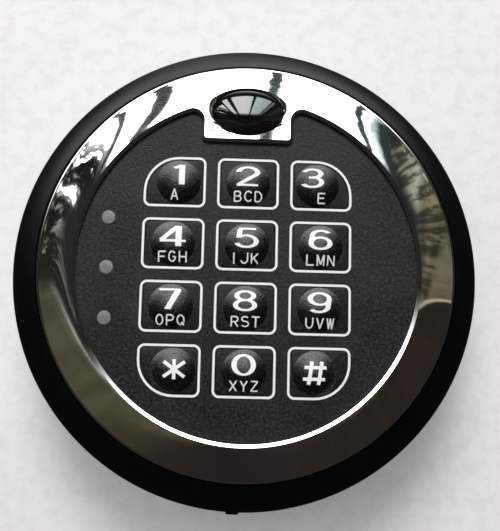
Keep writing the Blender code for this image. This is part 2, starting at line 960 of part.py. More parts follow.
def make_socket():
    material = finish("socket_white", (0.78, 0.76, 0.70), 0.45)
    half_length = socket_length / 2
    half_width = socket_width / 2
    body = rectangle(-half_length, half_length, -half_width, half_width)
    mesh = shaped("cable_socket", prism(body, -socket_height, 0), material)
    socket = place("cable_socket", mesh, (0, socket_y, board_bottom - film_gap))
    inner_length = half_length - socket_wall
    inner_width = half_width - socket_wall
    hollow = rectangle(-inner_length, inner_length, -inner_width, inner_width)
    cut(socket, "mouth", prism(hollow, -socket_height - overrun, -2 * socket_wall))
    key_way = rectangle(-socket_wall, socket_wall, 0, half_width + overrun)
    cut(socket, "key_way", prism(key_way, -socket_height - overrun, -socket_height / 2))


# Screws and inserts

def cross_slot(radius, bottom, top):
    """The four-armed recess of a cross-head screw."""
    half = drive_slot / 2
    arms = []
    for turn in range(4):
        angle = turn * math.pi / 2
        inner = (half * math.sqrt(2), angle + math.pi / 4)
        side = math.hypot(radius, half)
        lean = math.atan2(half, radius)
        arms += [polar(side, angle - lean), polar(side, angle + lean), polar(*inner)]
    return prism(arms, bottom, top)


def make_board_screws():
    material = finish("screw_zinc", (0.6, 0.6, 0.58), 0.3, 1.0)
    profile = [
        (0, board_screw_head_height),
        (board_screw_head * head_top_share, board_screw_head_height),
        (board_screw_head, board_screw_head_height / 2),
        (board_screw_head, 0),
        (board_screw_radius, 0),
        (board_screw_radius, -board_screw_length),
        (0, -board_screw_length - board_screw_radius),
    ]
    mesh = shaped("board_screw", turned(profile, small_round_steps), material)
    slot_bottom = board_screw_head_height - drive_depth
    for index, (x, y) in enumerate(board_screw_places(), 1):
        name = "board_screw_" + str(index)
        screw = place(name, mesh, (x, y, board_top + film_gap))
        arm = board_screw_head * drive_share
        slot_top = board_screw_head_height + overrun
        cut(screw, "cross", cross_slot(arm, slot_bottom, slot_top))


def make_base_screws():
    material = finish("screw_black", (0.03, 0.03, 0.03), 0.35, 1.0)
    cone = base_screw_head - base_screw_radius
    profile = [
        (0, base_screw_length),
        (base_screw_radius, base_screw_length - base_screw_radius),
        (base_screw_radius, cone),
        (base_screw_head, 0),
        (0, 0),
    ]
    mesh = shaped("base_screw", turned(profile, small_round_steps), material)
    for index, (x, y) in enumerate(base_screw_places(), 1):
        screw = place("base_screw_" + str(index), mesh, (x, y, base_screw_sink))
        cut(screw, "cross", cross_slot(base_screw_head * drive_share, -overrun, drive_depth))


def make_inserts():
    material = finish("insert_brass", (0.72, 0.52, 0.22), 0.28, 1.0)
    waist = insert_radius - small_chamfer
    profile = [
        (insert_thread, 0),
        (waist, 0),
        (insert_radius, small_chamfer),
        (insert_radius, insert_length / 3),
        (waist, insert_length / 2),
        (insert_radius, 2 * insert_length / 3),
        (waist, insert_length),
        (insert_thread, insert_length),
    ]
    mesh = shaped("insert", turned(profile, small_round_steps, hollow=True), material)
    for side, name in ((-1, "left"), (1, "right")):
        x = side * mount_spacing / 2
        place("mount_insert_" + name, mesh, (x, 0, insert_sink))


# Battery drawer, which slides out towards six o'clock

def drawer_front():
    """The stretch of body wall that the drawer carries, before its ends are cut."""
    outside = wall_side(shoulder_radius, drawer_top, drawer_bottom, corner_steps)
    inside = wall_side(
        shoulder_radius - wall_thickness, drawer_top, drawer_bottom, corner_steps
    )
    profile = [(radius, height - drawer_bottom) for radius, height in outside + inside[::-1]]
    return turned(profile, hollow=True)


def tray_floor():
    """The floor, round at the front, where it runs into the middle of the wall."""
    radius = body_radius - wall_thickness / 2
    reach = math.asin(drawer_half / radius)
    down = -math.pi / 2
    curve = arc((0, 0), (radius, radius), down - reach, down + reach, small_round_steps)
    outline = curve + [(drawer_half, drawer_rear), (-drawer_half, drawer_rear)]
    return prism(outline, 0, drawer_floor)


def thumb_notch():
    """The hollow in the rear wall that lets a thumb push the battery out."""
    top = drawer_top - drawer_bottom
    x = (battery_left + battery_right) / 2
    centre = (x, top - thumb_depth + thumb_radius)
    outline = arc(centre, (thumb_radius, thumb_radius), -math.pi, 0, small_round_steps)
    front = battery_rear - overrun
    rear = drawer_rear + overrun
    return skin([[(px, y, pz) for px, pz in outline] for y in (front, rear)])


def make_drawer(slide):
    material = finish("drawer_black", (0.012, 0.012, 0.012), 0.42)
    front = shaped("battery_drawer", drawer_front(), material)
    drawer = place("battery_drawer", front, parent=slide)
    height = drawer_top - drawer_bottom
    limit = rectangle(-front_half, front_half, -body_radius - overrun, 0)
    work(drawer, "INTERSECT", "front_limits", prism(limit, -overrun, height + overrun))
    join(drawer, "floor", tray_floor())

    wall_front = -math.sqrt(inner_radius**2 - drawer_half**2) - bite
    left_inner = -drawer_half + drawer_wall
    left = rectangle(-drawer_half, left_inner, wall_front, drawer_rear)
    join(drawer, "left_wall", prism(left, bite, cradle_height))
    right_inner = battery_right + seat_gap
    terminal_low = battery_axis - snap_socket_radius - seat_gap - drawer_bottom
    right_front = -math.sqrt(inner_radius**2 - right_inner**2) - bite
    right = rectangle(right_inner, right_inner + drawer_wall, right_front, drawer_rear)
    join(drawer, "right_wall", prism(right, bite, terminal_low))
    rear = rectangle(-drawer_half, right_inner + drawer_wall, battery_rear + seat_gap, drawer_rear)
    join(drawer, "rear_wall", prism(rear, bite / 2, height))

    runners = []
    posts = []
    arms = []
    catch_rear = catch_front + catch_thickness
    arm_low = catch_bottom - drawer_bottom
    arm_high = catch_top - drawer_bottom
    for side in (-1, 1):
        near, far = sorted((side * (drawer_half - drawer_wall), side * drawer_half))
        runner = rectangle(near, far, wall_front + bite / 2, runner_rear)
        runners.append(prism(runner, 0, runner_height))
        post = rectangle(near, far, catch_front, catch_rear)
        posts.append(prism(post, runner_height - bite, arm_high))
        near, far = sorted((side * (drawer_half - drawer_wall / 2), side * catch_half))
        arm = rectangle(near, far, catch_front + bite, catch_rear - bite)
        arms.append(prism(arm, arm_low, arm_high - bite / 2))
    join(drawer, "runners", group(runners))
    join(drawer, "catch_posts", group(posts))
    join(drawer, "catch_arms", group(arms))

    tab_depth = pull_reach + wall_thickness / 2
    tab = rounded(pull_width, 2 * tab_depth, [(pull_corner, corner_steps)] * 4)
    tab = moved(tab, pull_x, -body_radius - pull_reach + tab_depth)
    join(drawer, "pull_tab", prism(tab, pull_rise, pull_rise + pull_height))
    corners = [(floor_window_corner, corner_steps + 1)] * 4
    window = rounded(floor_window_length, floor_window_width, corners)
    window = moved(window, (battery_left + battery_right) / 2, battery_middle)
    cut(drawer, "floor_window", prism(window, -overrun, drawer_floor + overrun))
    cut(drawer, "thumb_notch", thumb_notch())
    return drawer


def make_battery(slide):
    material = finish("battery_jacket", (0.05, 0.05, 0.055), 0.35)
    sections = []
    half = battery_length / 2
    for x, inset in (
        (-half, battery_rim),
        (battery_rim - half, 0),
        (half - battery_rim, 0),
        (half, battery_rim),
    ):
        corners = [(battery_corner, corner_steps + 1)] * 4
        outline = rounded(battery_width, battery_thickness, corners, -inset)
        sections.append([(x, y, z) for y, z in outline])
    mesh = shaped("battery", skin(sections), material)
    middle_x = (battery_left + battery_right) / 2
    location = (middle_x, battery_middle, battery_axis - drawer_bottom)
    place("battery", mesh, location, slide)

    metal = finish("terminal_nickel", (0.7, 0.68, 0.63), 0.25, 1.0)
    stud = [
        (0, terminal_length),
        (stud_radius * stud_top_share, terminal_length),
        (stud_radius, terminal_length - small_chamfer),
        (stud_radius * stud_waist_share, terminal_length / 2),
        (stud_radius, 0),
        (0, 0),
    ]
    crown = [
        (0, terminal_length * crown_floor_share),
        (snap_socket_radius - snap_socket_wall, terminal_length * crown_floor_share),
        (snap_socket_radius - snap_socket_wall, terminal_length),
        (snap_socket_radius, terminal_length),
        (snap_socket_radius * crown_waist_share, terminal_length / 2),
        (snap_socket_radius, 0),
        (0, 0),
    ]
    shapes = (("positive", stud, -1), ("negative", crown, 1))
    for name, profile, side in shapes:
        part = place(
            "battery_terminal_" + name,
            shaped("terminal_" + name, turned(profile, small_round_steps), metal),
            (
                battery_right + seat_gap,
                battery_middle + side * terminal_spacing / 2,
                battery_axis - drawer_bottom,
            ),
            slide,
        )
        part.rotation_euler = (0, math.pi / 2, 0)


def make_contacts():
    """Bowed leaves between the contact rib and the terminals."""
    material = finish("contact_bronze", (0.72, 0.45, 0.2), 0.3, 1.0)
    low = -leaf_height / 2
    bow = leaf_room - 2 * seat_gap - leaf_sheet
    near = []
    far = []
    for share in spaced(-1, 1, leaf_steps):
        depth = seat_gap + bow * (1 - share**2)
        height = share * -low
        far.append((-depth, height))
        near.append((-depth - leaf_sheet, height))
    outline = far + near[::-1]
    half = leaf_width / 2
    mesh_sections = [[(x, y, z) for x, z in outline] for y in (-half, half)]
    mesh = shaped("battery_contact", skin(mesh_sections), material)
    for side, name in ((-1, "front"), (1, "rear")):
        y = battery_middle + side * terminal_spacing / 2
        place("battery_contact_" + name, mesh, (contact_face, y, battery_axis))


def main():
    for item in list(bpy.data.objects):
        bpy.data.objects.remove(item)
    make_housing()
    make_base_plate()
    make_bezel_ring()
    make_oval_lens()
    make_panel()
    make_overlay()
    make_windows()
    make_keys()
    make_snap_domes()
    make_board()
    make_chip()
    make_lamps()
    make_buzzer()
    make_socket()
    make_board_screws()
    make_base_screws()
    make_inserts()
    make_contacts()
    slide = place("drawer_slide", None, (0, 0, drawer_bottom))
    make_drawer(slide)
    make_battery(slide)


main()
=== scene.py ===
import math

import bmesh
import bpy
from mathutils import Matrix, Vector


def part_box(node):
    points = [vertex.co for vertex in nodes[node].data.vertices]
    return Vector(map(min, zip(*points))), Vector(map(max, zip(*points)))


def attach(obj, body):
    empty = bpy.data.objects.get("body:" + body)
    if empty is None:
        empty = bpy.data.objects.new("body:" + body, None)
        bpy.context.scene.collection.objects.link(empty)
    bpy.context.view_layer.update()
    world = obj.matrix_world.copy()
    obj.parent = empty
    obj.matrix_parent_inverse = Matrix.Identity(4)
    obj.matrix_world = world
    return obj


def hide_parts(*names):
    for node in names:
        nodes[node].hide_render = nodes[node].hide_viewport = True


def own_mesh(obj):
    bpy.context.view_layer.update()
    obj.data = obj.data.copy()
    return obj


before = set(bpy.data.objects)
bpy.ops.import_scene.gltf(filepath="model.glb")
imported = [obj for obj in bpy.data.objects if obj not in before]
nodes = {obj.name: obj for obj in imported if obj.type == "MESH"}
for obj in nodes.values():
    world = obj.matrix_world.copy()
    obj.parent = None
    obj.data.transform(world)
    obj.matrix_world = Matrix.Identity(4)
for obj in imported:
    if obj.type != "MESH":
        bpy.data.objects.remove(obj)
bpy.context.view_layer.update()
scene = bpy.context.scene
scene.view_settings.view_transform = "Standard"


# Shader sums and nodes

class Wire:
    # wraps one output socket, so that a pattern can be written as a sum

    def __init__(self, tree, socket=None):
        self.tree = tree
        self.socket = socket

    def node(self, kind, settings=None, inputs=None, output=0):
        made = self.tree.nodes.new(kind)
        for key, value in (settings or {}).items():
            if key == "stops":
                self.setStops(made.color_ramp, value)
            else:
                setattr(made, key, value)
        for key, value in (inputs or {}).items():
            if isinstance(value, Wire):
                self.tree.links.new(value.socket, made.inputs[key])
            else:
                made.inputs[key].default_value = value
        return Wire(self.tree, made.outputs[output])

    def setStops(self, ramp, stops):
        while len(ramp.elements) > 1:
            ramp.elements.remove(ramp.elements[0])
        ramp.elements[0].position = stops[0][0]
        ramp.elements[0].color = stops[0][1]
        for place, color in stops[1:]:
            ramp.elements.new(place).color = color

    def sums(self, operation, *values):
        inputs = dict(enumerate(values))
        return self.node("ShaderNodeMath", {"operation": operation}, inputs)

    def math(self, operation, *others):
        return self.sums(operation, self, *others)

    def __add__(self, other):
        return self.math("ADD", other)

    __radd__ = __add__

    def __sub__(self, other):
        return self.math("SUBTRACT", other)

    def __rsub__(self, other):
        return self.sums("SUBTRACT", other, self)

    def __mul__(self, other):
        return self.math("MULTIPLY", other)

    __rmul__ = __mul__

    def __truediv__(self, other):
        return self.math("DIVIDE", other)

    def __pow__(self, other):
        return self.math("POWER", other)

    def rise(self, low, high):
        # 0 below low, 1 above high, smooth between
        settings = {"interpolation_type": "SMOOTHSTEP"}
        return self.node("ShaderNodeMapRange", settings, {0: self, 1: low, 2: high})

    def band(self, middle, halfWidth, blur):
        # 1 inside a stripe, fading out over the blur
        distance = (self - middle).math("ABSOLUTE")
        return 1 - distance.rise(halfWidth, halfWidth + blur)

    def ramp(self, stops):
        return self.node("ShaderNodeValToRGB", {"stops": stops}, {0: self})

    def mix(self, first, second):
        # this wire is the share of the second colour
        return self.node(
            "ShaderNodeMix", {"data_type": "RGBA"}, {0: self, 6: first, 7: second}, 2
        )

    def parts(self):
        split = self.node("ShaderNodeSeparateXYZ", None, {0: self}).socket.node
        return [Wire(self.tree, split.outputs[axis]) for axis in range(3)]

    def noise(self, scale, detail=3.0, roughness=0.5, distortion=0.0):
        inputs = {
            "Vector": self, "Scale": scale, "Detail": detail,
            "Roughness": roughness, "Distortion": distortion,
        }
        return self.node("ShaderNodeTexNoise", None, inputs)

    def voronoi(self, scale, feature="F1"):
        return self.node(
            "ShaderNodeTexVoronoi", {"feature": feature}, {"Vector": self, "Scale": scale}
        )

    def stretch(self, scale, turn=(0, 0, 0)):
        inputs = {"Vector": self, "Rotation": turn, "Scale": scale}
        return self.node("ShaderNodeMapping", None, inputs)

    def flat(self, x, y):
        # a point in the plane, to look patterns up with
        return self.node("ShaderNodeCombineXYZ", None, {0: x, 1: y, 2: 0.0})

    def bump(self, strength, distance):
        inputs = {"Height": self, "Strength": strength, "Distance": distance}
        return self.node("ShaderNodeBump", None, inputs)


def gray(level):
    return (level, level, level, 1)


def startMaterial(name):
    material = bpy.data.materials.new(name)
    material.use_nodes = True
    place = Wire(material.node_tree).node("ShaderNodeTexCoord", output=3)
    return material, place


def fillShader(material, values):
    tree = material.node_tree
    shader = tree.nodes["Principled BSDF"]
    for name, value in values.items():
        if isinstance(value, Wire):
            tree.links.new(value.socket, shader.inputs[name])
        else:
            shader.inputs[name].default_value = value
    return material


# Mesh helpers

sliver = 0.0000001
overcut = 0.001
restGap = 0.0003


def shift(bm, vec, verts=None):
    bmesh.ops.translate(bm, verts=bm.verts if verts is None else verts, vec=vec)


def swing(bm, angle, axis):
    turn = Matrix.Rotation(angle, 3, axis)
    bmesh.ops.rotate(bm, verts=bm.verts, cent=(0, 0, 0), matrix=turn)


def vertsIn(geometry):
    return [item for item in geometry if isinstance(item, bmesh.types.BMVert)]


def roundEdges(bm, edges, offset, segments):
    bmesh.ops.bevel(
        bm, geom=edges, offset=offset, segments=segments, profile=0.5, affect="EDGES",
        material=-1,
    )


def sphereRadius(reach, rise):
    # of the sphere whose cap has this reach and this rise
    return (reach**2 + rise**2) / (2 * rise)


def spinProfile(points, steps=192, closed=False, centre=(0, 0)):
    # points are (radius, height) pairs, from axis to axis or round a closed loop
    bm = bmesh.new()
    verts = [bm.verts.new((radius, 0, height)) for radius, height in points]
    edges = [bm.edges.new(pair) for pair in zip(verts, verts[1:])]
    if closed:
        edges.append(bm.edges.new((verts[-1], verts[0])))
    bmesh.ops.spin(
        bm, geom=verts + edges, cent=(0, 0, 0), axis=(0, 0, 1), angle=math.tau,
        steps=steps, use_merge=True,
    )
    bmesh.ops.remove_doubles(bm, verts=bm.verts, dist=5 * sliver)
    bmesh.ops.recalc_face_normals(bm, faces=bm.faces)
    if any(centre):
        shift(bm, (*centre, 0))
    return bm


def arcPoints(centre, radii, fromDegrees, toDegrees, steps):
    points = []
    for step in range(steps + 1):
        angle = math.radians(fromDegrees + (toDegrees - fromDegrees) * step / steps)
        x = centre[0] + radii[0] * math.cos(angle)
        points.append((x, centre[1] + radii[1] * math.sin(angle)))
    return points


def drawOutline(bm, start, strokes, height, closed=True):
    # a stroke of two numbers is a straight line there, one of four an arc:
    # its centre, its degrees and its steps
    before = set(bm.edges)
    first = last = bm.verts.new((*start, height))
    for stroke in strokes:
        if len(stroke) == 2:
            point = bm.verts.new((*stroke, height))
            bm.edges.new((last, point))
            last = point
            continue
        made = bmesh.ops.spin(
            bm, geom=[last], cent=(stroke[0], stroke[1], height), axis=(0, 0, 1),
            angle=math.radians(stroke[2]), steps=stroke[3],
        )
        last = vertsIn(made["geom_last"])[0]
    if (last.co - first.co).length < 10 * sliver:
        bmesh.ops.weld_verts(bm, targetmap={last: first})
    elif closed:
        bm.edges.new((last, first))
    return [edge for edge in bm.edges if edge not in before]


def loftOutlines(levels):
    # each level is (start, strokes, height), bottom to top
    bm = bmesh.new()
    loops = [drawOutline(bm, *level) for level in levels]
    for lower, upper in zip(loops, loops[1:]):
        bmesh.ops.bridge_loops(bm, edges=lower + upper)
    for loop in (loops[0], loops[-1]):
        bmesh.ops.contextual_create(bm, geom=loop)
    bmesh.ops.recalc_face_normals(bm, faces=bm.faces)
    return bm


def roundedPlate(width, height, radii, low, high, centre=(0, 0), segments=8, edge=0.0):
    # a flat plate with round corners, counted from top right anticlockwise
    bm = bmesh.new()
    bmesh.ops.create_grid(bm, x_segments=1, y_segments=1, size=0.5)
    bmesh.ops.scale(bm, verts=bm.verts, vec=(width, height, 1))
    signs = ((1, 1), (-1, 1), (-1, -1), (1, -1))
    corners = [
        next(v for v in bm.verts if v.co.x * sx > 0 and v.co.y * sy > 0) for sx, sy in signs
    ]
    for corner, radius in zip(corners, radii):
        bmesh.ops.bevel(
            bm, geom=[corner], offset=radius, offset_type="OFFSET", segments=segments,
            profile=0.5, affect="VERTICES", material=-1,
        )
    shift(bm, (*centre, low))
    made = bmesh.ops.extrude_face_region(bm, geom=bm.faces[:])["geom"]
    shift(bm, (0, 0, high - low), vertsIn(made))
    bmesh.ops.recalc_face_normals(bm, faces=bm.faces)
    if edge:
        rim = [
            item for item in bm.edges
            if all(abs(v.co.z - high) < sliver for v in item.verts)
        ]
        roundEdges(bm, rim, edge, 3)
    return bm


def roundBar(radius, low, high, centre=(0, 0), segments=48, edge=0.0):
    profile = [(0, high), (radius - edge, high)]
    if edge:
        profile += arcPoints((radius - edge, high - edge), (edge, edge), 90, 0, 3)[1:]
    profile += [(radius, low), (0, low)]
    return spinProfile(profile, segments, centre=centre)


def block(low, high, edge=0.0):
    bm = bmesh.new()
    bmesh.ops.create_cube(bm, size=1)
    low, high = Vector(low), Vector(high)
    bmesh.ops.scale(bm, verts=bm.verts, vec=high - low)
    shift(bm, (low + high) / 2)
    if edge:
        roundEdges(bm, bm.edges[:], edge, 2)
    return bm


def gather(shapes):
    whole = bmesh.new()
    for shape in shapes:
        mesh = bpy.data.meshes.new("shape")
        shape.to_mesh(mesh)
        shape.free()
        whole.from_mesh(mesh)
        bpy.data.meshes.remove(mesh)
    return whole


def smoothen(piece, degrees=30):
    piece.data.shade_smooth()
    piece.data.set_sharp_from_angle(angle=math.radians(degrees))


def meshObject(name, bm, material=None):
    mesh = bpy.data.meshes.new(name)
    bm.to_mesh(mesh)
    bm.free()
    if material:
        mesh.materials.append(material)
    made = bpy.data.objects.new(name, mesh)
    scene.collection.objects.link(made)
    return made


def evaluatedMesh(piece):
    graph = bpy.context.evaluated_depsgraph_get()
    return bpy.data.meshes.new_from_object(piece.evaluated_get(graph))


def discard(piece):
    mesh = piece.data
    bpy.data.objects.remove(piece)
    bpy.data.meshes.remove(mesh)


def addPiece(name, bm, material, body="root", replaced=(), degrees=30):
    piece = meshObject(name, bm, material)
    smoothen(piece, degrees)
    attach(piece, body)
    if replaced:
        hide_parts(*replaced)
    return piece


def carve(piece, tool, operation="DIFFERENCE", degrees=30):
    # the cut is applied at once, so no tool stays in the scene
    cutter = meshObject("tool", tool)
    modifier = piece.modifiers.new("carve", "BOOLEAN")
    modifier.operation = operation
    modifier.object = cutter
    carved = evaluatedMesh(piece)
    piece.modifiers.clear()
    old = piece.data
    name = old.name
    piece.data = carved
    bpy.data.meshes.remove(old)
    carved.name = name
    discard(cutter)
    smoothen(piece, degrees)


def nodeSize(name):
    low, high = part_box(name)
    return low, high, (low + high) / 2


def names(prefix, endings):
    return [prefix + str(ending) for ending in endings]


baseScrews = names("base_screw_", range(1, 5))
boardScrews = names("board_screw_", range(1, 4))
inserts = names("mount_insert_", ("left", "right"))
lampSides = ("upper", "middle", "lower")


# Camera, floor and light

cameraSet = {
    "place": (-0.00473, -0.02197, 0.20304),
    "right": (0.9992, 0.0229, 0.0339),
    "up": (-0.0271, 0.9910, 0.1308),
    "lens": 54.54,
    "sensor": 36,
}


def makeCamera(style):
    data = bpy.data.cameras.new("photoCamera")
    data.lens = style["lens"]
    data.sensor_width = style["sensor"]
    data.clip_start = 0.001
    data.clip_end = 20
    camera = bpy.data.objects.new("photoCamera", data)
    right = Vector(style["right"]).normalized()
    up = Vector(style["up"])
    back = right.cross(up).normalized()
    up = back.cross(right)
    turn = Matrix((right, up, back)).transposed().to_4x4()
    camera.matrix_world = Matrix.Translation(style["place"]) @ turn
    scene.collection.objects.link(camera)
    scene.camera = camera


floorStyle = {
    "size": 3.0,
    "drop": 0.0001,
    "paper": (0.88, 0.875, 0.86, 1),
    "mottle": (0.83, 0.82, 0.81, 1),
    # painted shade: the dark colour that glossy rays see on the floor, away from the window side
    "paintedShadeInGloss": (0.012, 0.011, 0.010, 1),
    "litSideInGloss": (0.045, 0.150),
    "mottleScale": 260,
    "fibreScale": 900,
    # painted light: the reach, side and strength of a glow on the floor near the body that only
    # the camera sees
    "paintedGlowReach": (0.056, 0.085),
    "paintedGlowSide": (-0.052, -0.020),
    "paintedGlow": 0.09,
}


def makeFloor(style):
    material, place = startMaterial("paleFloor")
    mottle = place.noise(style["mottleScale"], 5, 0.6).rise(0.42, 0.66)
    fibre = place.noise(style["fibreScale"], 2)
    paper = mottle.mix(style["paper"], style["mottle"])
    x, y = place.parts()[:2]
    # painted shade in reflections: glossy rays see the floor dark, as if shaded, except on the
    # side towards the window, where they see it lit
    near = (y - (x + 0.02).math("ABSOLUTE") * 0.8).rise(*style["litSideInGloss"])
    glossyRay = place.node("ShaderNodeLightPath", output=3)
    color = glossyRay.mix(paper, near.mix(style["paintedShadeInGloss"], style["paper"]))
    normal = (fibre + mottle * 0.6).bump(0.12, 0.0004)
    # painted light: a glow that only the camera sees, which lightens the floor's shade in the
    # corner beside the wall
    reach = (x * x + y * y) ** 0.5
    paintedGlow = (1 - reach.rise(*style["paintedGlowReach"])) * y.rise(*style["paintedGlowSide"])
    cameraRay = place.node("ShaderNodeLightPath", output=0)
    paintedGlowColor = (paintedGlow * cameraRay).mix(gray(0), gray(style["paintedGlow"]))
    fillShader(material, {
        "Base Color": color, "Roughness": 0.85, "Normal": normal, "Specular IOR Level": 0.2,
        "Emission Color": paintedGlowColor, "Emission Strength": 1.0,
    })
    bm = bmesh.new()
    bmesh.ops.create_grid(bm, x_segments=4, y_segments=4, size=style["size"])
    shift(bm, (0, 0, -style["drop"]))
    floor = meshObject("floor", bm, material)


lampStyle = {
    "key": {"place": (-0.06, 0.44, 0.55), "size": 0.32, "power": 2.9},
    "fill": {"place": (-0.35, 0.08, 0.60), "size": 0.60, "power": 0.7},
}


def makeLamps(style):
    for name, values in style.items():
        data = bpy.data.lights.new(name + "Lamp", "AREA")
        data.shape = "DISK"
        data.size = values["size"]
        data.energy = values["power"]
        lamp = bpy.data.objects.new(name + "Lamp", data)
        lamp.location = values["place"]
        lamp.rotation_mode = "QUATERNION"
        lamp.rotation_quaternion = (-Vector(values["place"])).to_track_quat("-Z", "Y")
        lamp.visible_glossy = False
        scene.collection.objects.link(lamp)


# A room seen from below: directions are read as a turn about the zenith, 0 at
# twelve o'clock and a quarter turn at three, with the slope away from the zenith
roomStyle = {
    "zenithShift": 0.06,
    "backdrop": (0.86, 0.855, 0.84, 1),
    "ambient": 0.42,
    "turns": [
        (-180, (0.018, 0.014, 0.013, 1)),
        (-150, (0.024, 0.019, 0.015, 1)),
        (-132, (0.046, 0.038, 0.024, 1)),
        (-118, (0.086, 0.076, 0.044, 1)),
        (-104, (0.084, 0.078, 0.046, 1)),
        (-92, (0.082, 0.080, 0.052, 1)),
        (-82, (0.075, 0.078, 0.050, 1)),
        (-74, (0.12, 0.12, 0.085, 1)),
        (-70, (0.42, 0.40, 0.34, 1)),
        (-66, (0.16, 0.16, 0.12, 1)),
        (-58, (0.46, 0.46, 0.36, 1)),
        (-50, (0.90, 0.90, 0.86, 1)),
        (-44, (1.00, 1.00, 0.99, 1)),
        (0, (1.00, 1.00, 1.00, 1)),
        (8, (0.78, 0.88, 0.89, 1)),
        (26, (0.70, 0.82, 0.83, 1)),
        (33, (0.56, 0.66, 0.66, 1)),
        (36, (0.060, 0.064, 0.055, 1)),
        (40, (0.16, 0.17, 0.12, 1)),
        (46, (0.42, 0.44, 0.35, 1)),
        (50, (0.15, 0.15, 0.09, 1)),
        (56, (0.26, 0.24, 0.14, 1)),
        (62, (0.14, 0.13, 0.075, 1)),
        (70, (0.17, 0.155, 0.095, 1)),
        (82, (0.13, 0.11, 0.075, 1)),
        (96, (0.030, 0.021, 0.016, 1)),
        (135, (0.024, 0.020, 0.018, 1)),
        (179, (0.018, 0.014, 0.013, 1)),
    ],
    "mullions": [
        (-29, 0.5, 1.6),
        (-18, 1.7, 1.6),
        (7.6, 0.9, 0.8),
        (27.6, 0.6, 0.6),
        (34.8, 1.1, 1.6),
    ],
    "fanCentre": (0.05, 0.19),
    "leftTrees": (-50, 17, 9),
    "rightTrees": (49, 13, 6),
    "railHeight": 0.162,
    "railColor": (0.46, 0.39, 0.30, 1),
    "underRail": (0.026, 0.018, 0.014, 1),
    "windowGain": 7.0,
    "windowFoot": (1.12, 1.25),
    "wallFoot": (1.30, 3.00),
    "ceilingEnd": (0.26, 0.36),
    "ceilingDark": (0.022, 0.022, 0.024, 1),
    "wallDark": (0.020, 0.019, 0.017, 1),
    "farGlow": 6.0,
    "mullionDark": (0.030, 0.036, 0.036, 1),
    "branchDark": (0.012, 0.014, 0.010, 1),
}


